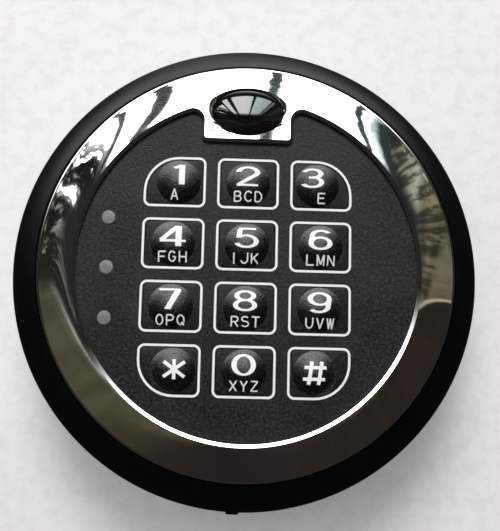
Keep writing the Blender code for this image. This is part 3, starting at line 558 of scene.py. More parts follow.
def makeRoom(style):
    world = bpy.data.worlds.new("room")
    scene.world = world
    world.use_nodes = True
    tree = world.node_tree
    tree.nodes.clear()
    start = Wire(tree)
    direction = start.node("ShaderNodeTexCoord", output=0)
    x, y, z = direction.parts()
    up = z.math("MAXIMUM", 0.02)
    tx = x / up
    ty = y / up + style["zenithShift"]
    slope = (tx * tx + ty * ty) ** 0.5
    degrees = 180 / math.pi
    turn = tx.math("ARCTAN2", ty) * degrees
    polar = start.flat(turn * 0.02, slope * 0.8)
    flat = start.flat(tx, ty)

    # outer stretches bend about, the middle of the window stays straight
    calm = turn.band(-3, 33, 8)
    wobble = (polar.noise(3.0, 4, 0.55) - 0.5) * 12
    bent = turn + wobble * (1 - calm)
    stops = [((level + 180) / 360, color) for level, color in style["turns"]]
    color = ((bent + 180) / 360).ramp(stops)

    # trees beyond the glass: dark streaks that fan out from a point near the zenith
    fanX, fanY = style["fanCentre"]
    fan = (tx - fanX).math("ARCTAN2", ty - fanY) * degrees
    sweep = start.flat(fan * 0.11, slope * 1.4)
    twigs = sweep.stretch((4.2, 1.5, 1)).noise(1.0, 4, 0.6, 0.4).rise(0.50, 0.58)
    lean = turn + (slope - 0.4) * 30
    leaning = start.flat(lean * 0.13, slope * 1.8)
    boughs = leaning.noise(1.0, 6, 0.66, 0.6).rise(0.44, 0.50)
    leftTrees = lean.band(*style["leftTrees"])
    color = (boughs * leftTrees).mix(color, style["branchDark"])
    color = (twigs * leftTrees * 0.4).mix(color, style["branchDark"])
    corner = slope.rise(0.82, 0.95) * turn.band(-62, 31, 4)
    color = corner.mix(color, style["branchDark"])
    rightTrees = turn.band(*style["rightTrees"])
    fine = sweep.stretch((3.0, 0.8, 1)).noise(1.0, 5, 0.66, 0.5).rise(0.44, 0.54)
    color = (fine * rightTrees * 0.85).mix(color, style["branchDark"])
    shade = sweep.stretch((1.6, 0.6, 1)).noise(1.0, 3).rise(0.35, 0.65)
    olive = turn.band(-98, 22, 14) + turn.band(68, 9, 8)
    color = (shade * olive * 0.45).mix(color, (0.030, 0.028, 0.016, 1))
    height = ty + tx * 0.058
    rightSide = tx.rise(0.10, 0.22)
    under = 1 - height.rise(style["railHeight"] - 0.008, style["railHeight"] + 0.002)
    brown = (shade * 0.5).mix(style["underRail"], style["branchDark"])
    color = (under * rightSide).mix(color, brown)
    rail = height.band(style["railHeight"], 0.002, 0.003) * rightSide
    color = (rail * 0.9).mix(color, style["railColor"])

    # the glass is far brighter than white, which only dull surfaces show
    brightness = start.node("ShaderNodeRGBToBW", None, {0: color})
    glass = brightness.rise(0.62, 0.92) * turn.band(-5, 40, 12)
    window = ty.rise(*style["ceilingEnd"])
    glass = glass * window
    speckle = flat.noise(70, 3, 0.7).rise(0.40, 0.54)
    for middle, halfWidth, blur in style["mullions"]:
        stripe = (turn + (polar.noise(9, 3) - 0.5) * 2.4).band(middle, halfWidth, blur)
        stripe = stripe * (0.92 + 0.08 * speckle)
        color = stripe.mix(color, style["mullionDark"])
        glass = glass * (1 - stripe)
    gain = 1 + glass * (style["windowGain"] - 1)
    ceiling = turn.band(-5, 45, 25) * (1 - window)
    color = ceiling.mix(color, style["ceilingDark"])
    wall = slope.rise(*style["windowFoot"])
    color = wall.mix(color, style["wallDark"])
    gain = gain * (1 - wall) + wall
    far = slope.rise(*style["wallFoot"]) * turn.band(-10, 34, 34)
    color = far.mix(color, (0.92, 0.93, 0.95, 1))
    gain = gain * (1 - far) + far * style["farGlow"]
    gain = gain * (0.06 + 0.94 * z.rise(-0.12, 0.0))

    cameraRay = start.node("ShaderNodeLightPath", output=0)
    glossyRay = start.node("ShaderNodeLightPath", output=3)
    even = start.node("ShaderNodeBackground", None, {0: gray(1), 1: style["ambient"]})
    room = start.node("ShaderNodeBackground", None, {0: color, 1: gain})
    paper = start.node("ShaderNodeBackground", None, {0: style["backdrop"], 1: 1.0})
    seen = start.node("ShaderNodeMixShader", None, {0: glossyRay, 1: even, 2: room})
    seen = start.node("ShaderNodeMixShader", None, {0: cameraRay, 1: seen, 2: paper})
    out = tree.nodes.new("ShaderNodeOutputWorld")
    tree.links.new(seen.socket, out.inputs[0])


makeCamera(cameraSet)
makeFloor(floorStyle)
makeLamps(lampStyle)
makeRoom(roomStyle)
print("camera, floor and light made")


# Finishes of the plastics and the film

def plasticFinish(name, color, roughness, grain, grainDepth, gloss=0.5):
    material, place = startMaterial(name)
    patches = place.noise(180, 4, 0.6).rise(0.35, 0.70)
    pores = place.noise(grain, 2)
    tone = patches.mix((*color, 1), (*[part * 1.45 for part in color], 1))
    rough = roughness + (patches - 0.5) * 0.07 + (place.noise(900, 3) - 0.5) * 0.06
    normal = (pores + place.noise(grain * 0.35, 2) * 0.7).bump(0.25, grainDepth)
    return fillShader(material, {
        "Base Color": tone, "Roughness": rough, "Normal": normal, "Specular IOR Level": gloss,
    })


def filmFinish(name, dark, light, scale, roughness, gloss, grain):
    material, place = startMaterial(name)
    fleck = place.noise(scale, 3, 0.7).rise(0.40, 0.72)
    cloud = place.noise(90, 3).rise(0.3, 0.7)
    tone = (fleck * 0.75 + cloud * 0.25).mix(dark, light)
    normal = place.noise(scale, 3, 0.7).bump(0.8, grain)
    rough = roughness + (fleck - 0.5) * 0.12
    return fillShader(material, {
        "Base Color": tone, "Roughness": rough, "Normal": normal, "Specular IOR Level": gloss,
    })


def metalFinish(name, color, roughness, scratchScale):
    material, place = startMaterial(name)
    scratches = place.stretch((scratchScale, scratchScale * 0.04, scratchScale)).noise(1, 3)
    stain = place.noise(260, 4).rise(0.4, 0.75)
    tone = (stain * 0.5).mix((*color, 1), (*[part * 0.72 for part in color], 1))
    rough = roughness + stain * 0.10 + (scratches - 0.5) * 0.08
    normal = scratches.bump(0.2, 0.00001)
    return fillShader(
        material, {"Base Color": tone, "Metallic": 1.0, "Roughness": rough, "Normal": normal}
    )


bodyBlack = plasticFinish("bodyBlack", (0.0013, 0.0013, 0.0014), 0.42, 2600, 0.00003, 0.20)
baseBlack = plasticFinish("baseBlack", (0.008, 0.008, 0.009), 0.50, 1700, 0.00008)
panelBlack = plasticFinish("panelBlack", (0.020, 0.020, 0.020), 0.55, 1900, 0.00004)
filmCharcoal = filmFinish("filmCharcoal", gray(0.001), gray(0.030), 1500, 0.46, 0.30, 0.00013)
domeCharcoal = filmFinish("domeCharcoal", gray(0.0003), gray(0.005), 2400, 0.30, 0.85, 0.00013)


# The chrome ring

ringStyle = {
    "width": 0.0082,
    "footWidth": 0.0036,
    "chamfer": 0.00065,
    "land": 0.0004,
    "faceDrop": 0.0006,
    "shoulderWidth": 0.0010,
    "shoulderDrop": 0.0008,
    "tongueWidth": 0.0200,
    "tongueShift": -0.00065,
    "tongueFillet": 0.0020,
    "tongueCorner": 0.0012,
    "tongueMargin": 0.00135,
    "seatOver": 0.0002,
    "steps": 256,
    "smooth": 16,
}
ovalStyle = {
    "width": 0.0156,
    "height": 0.0105,
    "gap": 0.00012,
    "seatDepth": 0.00020,
    "lensDrop": 0.00045,
    "lensStart": 35,
    "lensRim": 0.00006,
    "bevelWidth": 0.0178,
    "bevelHeight": 0.0110,
    "bevelLift": 0.00022,
    "steps": 96,
}


def chromeFinish():
    material, place = startMaterial("ringChrome")
    smudge = place.noise(60, 4, 0.6).rise(0.45, 0.80)
    hairlines = place.stretch((900, 60, 60), (0, 0, 0.6)).noise(1, 2)
    tone = (smudge * 0.35).mix((0.93, 0.93, 0.94, 1), (0.84, 0.84, 0.85, 1))
    rough = 0.025 + smudge * 0.03
    normal = (hairlines * 0.3 + place.noise(140, 2)).bump(0.03, 0.0001)
    return fillShader(
        material, {"Base Color": tone, "Metallic": 1.0, "Roughness": rough, "Normal": normal}
    )


ringChrome = chromeFinish()
ringLow, ringHigh = nodeSize("bezel_ring")[:2]
lensLow, lensHigh, lensMiddle = nodeSize("oval_lens")
overlayLow, overlayHigh = nodeSize("keypad_overlay")[:2]
ringOuter = ringHigh.x
ringInner = ringOuter - ringStyle["width"]
crease = ringHigh.z
seatWidth = ovalStyle["width"] + 2 * ovalStyle["gap"]
seatHeight = ovalStyle["height"] + 2 * ovalStyle["gap"]


def openingLevel(style, grow, height):
    # the opening's edge: a circle with the tongue reaching in from the top
    radius = ringInner + grow
    fillet = style["tongueFillet"] + grow
    corner = style["tongueCorner"] - grow
    half = style["tongueWidth"] / 2
    bottom = lensMiddle.y - ovalStyle["height"] / 2 - style["tongueMargin"] + style["tongueCorner"]
    rightX = style["tongueShift"] + half + style["tongueFillet"]
    leftX = style["tongueShift"] - half - style["tongueFillet"]
    rightY = math.sqrt((ringInner - style["tongueFillet"]) ** 2 - rightX**2)
    leftY = math.sqrt((ringInner - style["tongueFillet"]) ** 2 - leftX**2)
    rightTurn = math.degrees(math.atan2(rightY, rightX))
    leftTurn = math.degrees(math.atan2(leftY, leftX))
    start = (
        radius * math.cos(math.radians(leftTurn)),
        radius * math.sin(math.radians(leftTurn)),
    )
    innerX = rightX - style["tongueFillet"] - style["tongueCorner"]
    outerX = leftX + style["tongueFillet"] + style["tongueCorner"]
    strokes = [
        (0, 0, 360 - leftTurn + rightTurn, style["steps"]),
        (rightX, rightY, 180 - rightTurn, 12),
        (innerX + corner, bottom),
        (innerX, bottom, -90, 8),
        (outerX, bottom - corner),
        (outerX, bottom, -90, 8),
        (leftX + fillet, leftY),
        (leftX, leftY, leftTurn, 12),
    ]
    return start, strokes, height


def ovalShape(width, height, centre, low, high, steps):
    bm = bmesh.new()
    bmesh.ops.create_cone(
        bm, cap_ends=True, segments=steps, radius1=0.5, radius2=0.5, depth=high - low
    )
    bmesh.ops.scale(bm, verts=bm.verts, vec=(width, height, 1))
    shift(bm, (centre.x, centre.y, (low + high) / 2))
    return bm


def ovalFlare(style, centre):
    # the bevel round the oval's seat, carried past the ring's face
    reach = 1 + restGap / style["seatDepth"]
    bm = ovalShape(
        seatWidth, seatHeight, centre, crease - style["seatDepth"], crease + restGap,
        style["steps"],
    )
    top = [v for v in bm.verts if v.co.z > crease]
    wide = (seatWidth + (style["bevelWidth"] - seatWidth) * reach) / seatWidth
    high = (seatHeight + (style["bevelHeight"] - seatHeight) * reach) / seatHeight
    bmesh.ops.scale(
        bm, verts=top, vec=(wide, high, 1), space=Matrix.Translation((-centre.x, -centre.y, 0))
    )
    shift(bm, (0, style["bevelLift"] * reach, 0), top)
    return bm


def makeRing(style):
    land = ringInner + style["chamfer"] + style["land"]
    faceEnd = ringOuter - style["shoulderWidth"]
    width = faceEnd - land
    arcRadius = sphereRadius(width, style["faceDrop"])
    turn = math.degrees(math.asin(width / arcRadius))
    centre = (land, crease - arcRadius)
    radii = (arcRadius, arcRadius)
    shoulderEnd = crease - style["faceDrop"] - style["shoulderDrop"]
    shoulder = (style["shoulderWidth"], style["shoulderDrop"])
    foot = ringOuter - style["footWidth"]
    underside = overlayHigh.z + restGap
    profile = (
        [(0, crease)]
        + arcPoints(centre, radii, 90, 90 - turn * 0.01, 1)
        + arcPoints(centre, radii, 90 - turn / 16, 90 - turn, 15)[:-1]
        + arcPoints((faceEnd, shoulderEnd), shoulder, 90, 0, 10)
        + [(ringOuter, ringLow.z), (foot, ringLow.z), (foot, underside), (0, underside)]
    )
    ring = addPiece(
        "ring", spinProfile(profile, style["steps"]), ringChrome, "root",
        ("bezel_ring",), style["smooth"],
    )
    low = underside - overcut
    flare = style["chamfer"] + restGap
    levels = (
        openingLevel(style, 0, low),
        openingLevel(style, 0, crease - style["chamfer"]),
        openingLevel(style, flare, crease + restGap),
    )
    seatTop = crease + style["seatOver"]
    for tool in (
        loftOutlines(levels),
        ovalShape(seatWidth, seatHeight, lensMiddle, low, seatTop, ovalStyle["steps"]),
        ovalFlare(ovalStyle, lensMiddle),
    ):
        carve(ring, tool, degrees=style["smooth"])


def lensFinish():
    material, place = startMaterial("lensBlack")
    dust = place.noise(3000, 2).rise(0.62, 0.75)
    tone = (dust * 0.2).mix(gray(0.003), gray(0.03))
    return fillShader(material, {
        "Base Color": tone,
        "Roughness": 0.03 + dust * 0.05,
        "Coat Weight": 1.0,
        "Coat Roughness": 0.02,
    })


def makeLens(style):
    # only the upper part of a tall oval dome, so that the rim doesn't turn upright
    edge = crease - style["lensDrop"]
    start = math.radians(style["lensStart"])
    tall = (lensHigh.z - edge) / (1 - math.sin(start))
    wide = 0.5 / math.cos(start)
    centre = (0, lensHigh.z - tall)
    profile = [(0, lensLow.z), (0.5, lensLow.z), (0.5, edge - style["lensRim"])]
    profile += arcPoints(centre, (wide, tall), style["lensStart"], 90, 20)[:-1]
    profile.append((0, lensHigh.z))
    bm = spinProfile(profile, style["steps"])
    bmesh.ops.scale(bm, verts=bm.verts, vec=(style["width"], style["height"], 1))
    shift(bm, (lensMiddle.x, lensMiddle.y, 0))
    addPiece("lens", bm, lensFinish(), "root", ("oval_lens",), 60)


makeRing(ringStyle)
makeLens(ovalStyle)
print("ring and lens made")


# Keys, their printed frames and signs

keyStyle = {
    "frameWidth": 0.01296,
    "frameHeight": 0.01064,
    "stroke": 0.0007,
    "inkWidth": 0.00051,
    "corner": 0.0013,
    "sweep": 0.0075,
    "gap": 0.00015,
    "domeRadius": 0.0048,
    "domeRise": 0.0014,
    "domeShift": 0.00087,
    "domeFoot": 0.0003,
    "flange": 0.0008,
    "flangeReach": 0.0007,
    "plungerRadius": 0.0022,
    "plungerLength": 0.0003,
    "edge": 0.00008,
    "bite": 0.0001,
    "inkHeight": 0.00003,
}
# each key's sign with its letters, and the corner of its frame that sweeps round
keySigns = {
    "key_1": ("1", "A", 1), "key_2": ("2", "BCD", None), "key_3": ("3", "E", 0),
    "key_4": ("4", "FGH", None), "key_5": ("5", "IJK", None), "key_6": ("6", "LMN", None),
    "key_7": ("7", "OPQ", None), "key_8": ("8", "RST", None), "key_9": ("9", "UVW", None),
    "key_star": ("*", "", 2), "key_0": ("0", "XYZ", None), "key_hash": ("#", "", 3),
}
keySide = {"key_1": 1, "key_star": 1, "key_3": -1, "key_hash": -1}
faceHeight = overlayHigh.z


def keyCorners(name, style, grow):
    radii = [style["corner"] + grow] * 4
    if keySigns[name][2] is not None:
        radii[keySigns[name][2]] = style["sweep"] + grow
    return radii


def keyPlate(name, style, grow, low, high, edge=0.0):
    middle = nodeSize(name)[2]
    return roundedPlate(
        style["frameWidth"] + 2 * grow, style["frameHeight"] + 2 * grow,
        keyCorners(name, style, grow), low, high, (middle.x, middle.y), 10, edge,
    )


def domeCentre(name, style):
    middle = nodeSize(name)[2]
    return middle.x + keySide.get(name, 0) * style["domeShift"], middle.y


def domeHeight(name, style, x, y):
    sphere = sphereRadius(style["domeRadius"], style["domeRise"])
    centreX, centreY = domeCentre(name, style)
    reach = math.hypot(x - centreX, y - centreY)
    if reach >= style["domeRadius"]:
        return faceHeight
    return faceHeight + style["domeRise"] - sphere + math.sqrt(sphere**2 - reach**2)


def makeKey(name, style):
    low = nodeSize(name)[0]
    stemGrow = -style["stroke"] / 2 - style["gap"]
    flangeLow = low.z + style["plungerLength"]
    flangeHigh = flangeLow + style["flange"]
    centre = domeCentre(name, style)
    shapes = [
        keyPlate(name, style, stemGrow, flangeHigh - style["bite"], faceHeight, style["edge"]),
        keyPlate(name, style, stemGrow + style["flangeReach"], flangeLow, flangeHigh),
        roundBar(style["plungerRadius"], low.z, flangeLow + style["bite"], centre, 32),
    ]
    addPiece(
        name.replace("_", "Cap_"), gather(shapes), filmCharcoal, name, (name,), 30
    )
    sphere = sphereRadius(style["domeRadius"], style["domeRise"])
    edgeTurn = math.degrees(math.asin(style["domeRadius"] / sphere))
    top = faceHeight + style["domeRise"]
    cap = arcPoints((0, top - sphere), (sphere, sphere), 90, 90 - edgeTurn, 14)
    cap[0] = (0, top)
    foot = faceHeight - style["domeFoot"]
    dome = spinProfile(cap + [(style["domeRadius"], foot), (0, foot)], 72, centre=centre)
    addPiece(name.replace("_", "Dome_"), dome, domeCharcoal, name, (), 40)


def inkFinish(name, level):
    material, place = startMaterial(name)
    worn = place.noise(2200, 4, 0.7).rise(0.55, 0.80)
    tone = (worn * 0.35).mix(gray(level), gray(level * 0.75))
    normal = place.noise(4000, 2).bump(0.15, 0.00002)
    return fillShader(material, {"Base Color": tone, "Roughness": 0.45, "Normal": normal})


frameInk = inkFinish("frameInk", 0.84)
signInk = inkFinish("signInk", 0.90)
letterInk = inkFinish("letterInk", 0.78)


def makeFrames(style):
    rings = []
    for name in keySigns:
        low, high = faceHeight, faceHeight + style["inkHeight"]
        bm = keyPlate(name, style, style["inkWidth"] / 2, low, high)
        bmesh.ops.delete(
            bm, geom=[f for f in bm.faces if abs(f.normal.z) < 0.5 or f.normal.z < 0],
            context="FACES",
        )
        made = bmesh.ops.inset_region(
            bm, faces=bm.faces[:], thickness=style["inkWidth"], use_even_offset=True,
            use_boundary=True,
        )
        inner = [f for f in bm.faces if f not in made["faces"]]
        bmesh.ops.delete(bm, geom=inner, context="FACES")
        lowered = bmesh.ops.extrude_face_region(bm, geom=bm.faces[:])["geom"]
        shift(bm, (0, 0, -style["inkHeight"]), vertsIn(lowered))
        bmesh.ops.recalc_face_normals(bm, faces=bm.faces)
        rings.append(bm)
    addPiece("printedFrames", gather(rings), frameInk)


# Signs are drawn with a pen: each list is one stroke, a start and then lines (x, y)
# or arcs (centre x, centre y, degrees, steps), in a box that is fitted afterwards
penStrokes = {
    "0": [[(1, 0.5), (0.5, 0.5, 360, 40)]],
    "1": [[(1, 0), (1, 1)], [(-0.05, 0.83), (0.45, 0.86)], [(0.3, 0.84), (0.95, 0.97)]],
    "2": [[(0.025, 0.73), (0.30, 0.72, -220, 26), (0.03, 0.03)], [(-0.03, 0), (0.6, 0)]],
    "3": [
        [(0.078, 0.858), (0.30, 0.755, -245, 24)],
        [(0.20, 0.52), (0.34, 0.52)],
        [(0.30, 0.53), (0.30, 0.265, -250, 24)],
    ],
    "4": [[(0.72, 0), (0.72, 1)], [(0.68, 0.97), (0.07, 0.30)], [(0, 0.26), (1, 0.26)]],
    "5": [
        [(0.06, 1), (0.58, 1)], [(0.09, 0.98), (0.045, 0.50)],
        [(0.0425, 0.509), (0.28, 0.31, -300, 28)],
    ],
    "6": [
        [(0.6, 0.30), (0.3, 0.30, 360, 36)],
        [(0.56, 0.86), (0.33, 0.68, 145, 18), (0, 0.30)],
    ],
    "7": [[(0, 1), (1, 1)], [(0.92, 1), (0.42, 0)]],
    "8": [
        [(0.535, 0.765), (0.3, 0.765, 360, 32)],
        [(0.565, 0.265), (0.3, 0.265, 360, 36)],
    ],
    "9": [
        [(0.6, 0.70), (0.3, 0.70, 360, 36)],
        [(0.04, 0.14), (0.27, 0.32, 145, 18), (0.6, 0.70)],
    ],
    "#": [
        [(0.24, 0), (0.38, 1)], [(0.66, 0), (0.80, 1)],
        [(0.06, 0.74), (1, 0.74)], [(0, 0.24), (0.94, 0.24)],
    ],
    "*": [[(0.5, 0), (0.5, 1)], [(0, 0.12), (1, 0.88)], [(0, 0.88), (1, 0.12)]],
    "A": [[(0, 0), (0.5, 1)], [(0.5, 1), (1, 0)], [(0.17, 0.32), (0.83, 0.32)]],
    "B": [
        [(0, 0.52), (0.30, 0.52), (0.30, 0.76, 180, 12), (0, 1)],
        [(0, 0), (0, 1)],
        [(0, 0), (0.33, 0), (0.33, 0.26, 180, 12), (0, 0.52)],
    ],
    "C": [[(0.92, 0.82), (0.5, 0.5, 284, 28)]],
    "D": [[(0, 0), (0.30, 0), (0.30, 0.5, 180, 18), (0, 1)], [(0, 1), (0, 0)]],
    "E": [[(0, 0), (1, 0)], [(0, 0), (0, 1)], [(0, 1), (0.95, 1)], [(0, 0.52), (0.85, 0.52)]],
    "F": [[(0, 0), (0, 1)], [(0, 1), (1, 1)], [(0, 0.52), (0.85, 0.52)]],
    "G": [[(0.92, 0.82), (0.5, 0.5, 315, 30)], [(1.02, 0.46), (0.58, 0.46)]],
    "H": [[(0, 0), (0, 1)], [(1, 0), (1, 1)], [(0, 0.5), (1, 0.5)]],
    "I": [[(0.5, 0), (0.5, 1)]],
    "J": [[(0, 0.24), (0.36, 0.34, 160, 14), (0.735, 1)]],
    "K": [[(0, 0), (0, 1)], [(0.95, 1), (0, 0.34)], [(0.32, 0.56), (1, 0)]],
    "L": [[(0, 1), (0, 0)], [(0, 0), (1, 0)]],
    "M": [[(0, 0), (0, 1)], [(0, 1), (0.5, 0.12)], [(0.5, 0.12), (1, 1)], [(1, 1), (1, 0)]],
    "N": [[(0, 0), (0, 1)], [(0, 1), (1, 0)], [(1, 0), (1, 1)]],
    "O": [[(1, 0.5), (0.5, 0.5, 360, 32)]],
    "P": [[(0, 0), (0, 1)], [(0, 1), (0.34, 1), (0.34, 0.74, -180, 12), (0, 0.48)]],
    "Q": [[(1, 0.5), (0.5, 0.5, 360, 32)], [(0.58, 0.28), (1, -0.06)]],
    "R": [
        [(0, 0), (0, 1)], [(0, 1), (0.34, 1), (0.34, 0.74, -180, 12), (0, 0.48)],
        [(0.28, 0.48), (0.62, 0)],
    ],
    "S": [[(0.712, 0.877), (0.5, 0.755, 240, 20), (0.5, 0.255, -240, 20)]],
    "T": [[(0, 1), (1, 1)], [(0.5, 0), (0.5, 1)]],
    "U": [[(0, 1), (0, 0.5), (0.5, 0.5, 180, 16), (1, 1)]],
    "V": [[(0, 1), (0.5, 0)], [(0.5, 0), (1, 1)]],
    "W": [[(0, 1), (0.25, 0)], [(0.25, 0), (0.5, 0.95)], [(0.5, 0.95), (0.75, 0)],
          [(0.75, 0), (1, 1)]],
    "X": [[(0, 0), (1, 1)], [(0, 1), (1, 0)]],
    "Y": [[(0, 1), (0.5, 0.5)], [(0.5, 0.5), (1, 1)], [(0.5, 0.5), (0.5, 0)]],
    "Z": [[(0, 1), (1, 1)], [(1, 1), (0, 0)], [(0, 0), (1, 0)]],
}
signStyle = {
    "upright": 0.00110,
    "level": 0.00046,
    "height": 0.00455,
    "rise": 0.00150,
    "widths": {
        "0": 0.0052, "1": 0.0026, "2": 0.0053, "3": 0.0050, "4": 0.0058, "5": 0.0053,
        "6": 0.0052, "7": 0.0048, "8": 0.0052, "9": 0.0052, "#": 0.0050, "*": 0.0049,
    },
    "heights": {"#": 0.0050, "*": 0.0042},
    "strokes": {"#": 0.00062, "*": 0.00062},
    "shifts": {
        "1": (0.00086, 0.0014), "3": (-0.00198, 0.00149), "#": (-0.0010, 0.0001),
        "*": (0.00124, 0.00027),
    },
    "letterStroke": 0.00031,
    "letterWidth": 0.00172,
    "letterHeight": 0.00235,
    "letterPitch": 0.00225,
    "letterDrop": 0.00295,
    "letterShifts": {"5": -0.0005},
    "ink": 0.00003,
    "cell": 0.0004,
}


def fitBox(bm, low, high):
    # stretches a flat shape so that it just fills the box
    for axis in (0, 1):
        places = [v.co[axis] for v in bm.verts]
        start, span = min(places), max(places) - min(places)
        for v in bm.verts:
            share = (v.co[axis] - start) / span if span > 10 * sliver else 0.5
            v.co[axis] = low[axis] + (high[axis] - low[axis]) * share


def penShape(sign, width, height, stroke, stretch, centre):
    # the strokes' middle lines are thickened in a narrow box, which is then widened
    bm = bmesh.new()
    for start, *strokes in penStrokes[sign]:
        drawOutline(bm, start, strokes, 0, closed=False)
    if sign == "I":
        width = stroke
    halfX = (width / stretch - stroke) / 2
    halfY = (height - stroke) / 2
    fitBox(bm, (-halfX, -halfY), (halfX, halfY))
    made = bmesh.ops.extrude_edge_only(bm, edges=bm.edges[:])["geom"]
    shift(bm, (0, 0, height), vertsIn(made))
    pen = meshObject("stroke", bm)
    thickness = pen.modifiers.new("thickness", "SOLIDIFY")
    thickness.thickness = stroke
    thickness.offset = 0
    thickness.use_even_offset = True
    drawn = evaluatedMesh(pen)
    bm = bmesh.new()
    bm.from_mesh(drawn)
    discard(pen)
    bpy.data.meshes.remove(drawn)
    low = (centre[0] - width / 2, centre[1] - height / 2)
    high = (centre[0] + width / 2, centre[1] + height / 2)
    fitBox(bm, low, high)
    return bm


def layOnDome(bm, name, style, height):
    # cut into small cells first, so that the ink follows the dome
    for axis in (0, 1):
        places = [v.co[axis] for v in bm.verts]
        count = int((max(places) - min(places)) / style["cell"])
        for step in range(1, count + 1):
            point, normal = [0, 0, 0], [0, 0, 0]
            point[axis] = min(places) + step * style["cell"]
            normal[axis] = 1
            bmesh.ops.bisect_plane(
                bm, geom=bm.verts[:] + bm.edges[:] + bm.faces[:], plane_co=point,
                plane_no=normal, dist=sliver,
            )
    for v in bm.verts:
        ink = style["ink"] if v.co.z > height / 2 else -style["ink"]
        v.co.z = domeHeight(name, keyStyle, v.co.x, v.co.y) + ink
    bmesh.ops.recalc_face_normals(bm, faces=bm.faces)
    return bm


def makeSigns(name, style):
    sign, letters = keySigns[name][:2]
    middle = nodeSize(name)[2]
    shift = style["shifts"].get(sign, (-0.0001, style["rise"]))
    height = style["heights"].get(sign, style["height"])
    stroke = style["strokes"].get(sign, style["level"])
    stretch = 1.1 if sign in style["strokes"] else style["upright"] / style["level"]
    shape = penShape(
        sign, style["widths"][sign], height, stroke, stretch,
        (middle.x + shift[0], middle.y + shift[1]),
    )
    shape = layOnDome(shape, name, style, height)
    addPiece(name.replace("_", "Sign_"), shape, signInk, name, (), 60)
    if not letters:
        return
    shapes = []
    height = style["letterHeight"]
    for place, letter in enumerate(letters):
        x = middle.x + (place - (len(letters) - 1) / 2) * style["letterPitch"]
        x += style["letterShifts"].get(sign, 0)
        shape = penShape(
            letter, style["letterWidth"], height, style["letterStroke"], 1,
            (x, middle.y - style["letterDrop"]),
        )
        shapes.append(layOnDome(shape, name, style, height))
    addPiece(name.replace("_", "Letters_"), gather(shapes), letterInk, name, (), 60)


for name in keySigns:
    makeKey(name, keyStyle)
    makeSigns(name, signStyle)
makeFrames(keyStyle)
print("keys made")


# The printed film with its openings, and the indicator windows

windowStyle = {
    "hole": 0.00156,
    "radius": 0.0015,
    "flange": 0.0020,
    "flangeHeight": 0.0007,
    "edge": 0.00012,
}


def makeOverlay():
    low, high = overlayLow.z - overcut, overlayHigh.z + overcut
    bm = roundBar(overlayHigh.x, overlayLow.z, overlayHigh.z, (0, 0), 192)
    overlay = addPiece(
        "film", bm, filmCharcoal, "root", ("keypad_overlay",)
    )
    holes = [keyPlate(name, keyStyle, -keyStyle["stroke"] / 2, low, high) for name in keySigns]
    for side in lampSides:
        middle = nodeSize("window_" + side)[2]
        holes.append(roundBar(windowStyle["hole"], low, high, (middle.x, middle.y), 48))
    carve(overlay, gather(holes))


def windowFinish():
    material, place = startMaterial("windowGrey")
    haze = place.noise(1500, 3).rise(0.3, 0.7)
    tone = haze.mix((0.14, 0.143, 0.147, 1), (0.21, 0.214, 0.218, 1))
    return fillShader(material, {
        "Base Color": tone, "Roughness": 0.32 + haze * 0.1, "Normal": haze.bump(0.1, 0.00003),
    })


windowGrey = windowFinish()


def makeWindow(side, style):
    low, high, middle = nodeSize("window_" + side)
    radius, flange, edge = style["radius"], style["flange"], style["edge"]
    flangeTop, rim = low.z + style["flangeHeight"], high.z - edge
    profile = [(0, low.z), (flange, low.z), (flange, flangeTop), (radius, flangeTop)]
    profile += [(radius, rim)]
    profile += arcPoints((radius - edge, rim), (edge, edge), 0, 90, 3)[1:]
    profile += [(0, high.z)]
    bm = spinProfile(profile, 48, centre=(middle.x, middle.y))
    addPiece("indicator_" + side, bm, windowGrey, "root", ("window_" + side,))


makeOverlay()
for side in lampSides:
    makeWindow(side, windowStyle)
print("film and windows made")


# The moulded housing: a curved shoulder, the ring's rebate and the well behind it

housingStyle = {
    "wall": 0.0023,
    "shoulderWidth": 0.0072,
    "shoulderHeight": 0.0119,
    "footChamfer": 0.0004,
    "ledge": 0.0020,
    "wellWall": 0.0020,
    "deck": 0.0015,
    "lipRound": 0.00016,
    "wellInset": 0.0018,
    "mouthHalf": 0.02865,
    "mouthLow": 0.0025,
    "openingGap": 0.0005,
    "wireSlot": (0.0155, 0.0195, 0.0245, 0.0217),
    "columnRadius": 0.0030,
    "columnBore": 0.0016,
    "columnFoot": 0.0028,
    "columnEdge": 0.0002,
    "ribWidth": 0.0014,
    "ribStart": 0.0020,
    "ribFoot": 0.0031,
    "ribEdge": 0.0001,
    "bossRadius": 0.0025,
    "bossBore": 0.0013,
    "bossDrop": 0.0040,
    "bossRise": 0.0006,
    "contactRib": 0.0018,
    "contactEnds": (0.0034, 0.0069),
    "contactFoot": 0.0092,
}
housingHigh = nodeSize("housing")[1]
panelLow, panelHigh = nodeSize("keypad_panel")[:2]
boardLow = nodeSize("circuit_board")[0]
drawerLow, drawerHigh, drawerMiddle = nodeSize("battery_drawer")
bodyRadius = housingHigh.x
innerRadius = bodyRadius - housingStyle["wall"]
deckTop = boardLow.z - 0.0009
deckBottom = deckTop - housingStyle["deck"]
shoulderFoot = housingHigh.z - housingStyle["shoulderHeight"]
shoulderRadius = sphereRadius(housingStyle["shoulderHeight"], housingStyle["shoulderWidth"])
shoulderCentre = (bodyRadius - shoulderRadius, shoulderFoot)


def wallSide(radius, top, bottom, steps):
    # one face of the wall, from a height on the shoulder down to the bottom
    start = math.degrees(math.asin((top - shoulderFoot) / radius))
    curve = arcPoints(shoulderCentre, (radius, radius), start, 0, steps)
    return curve + [(curve[-1][0], bottom)]


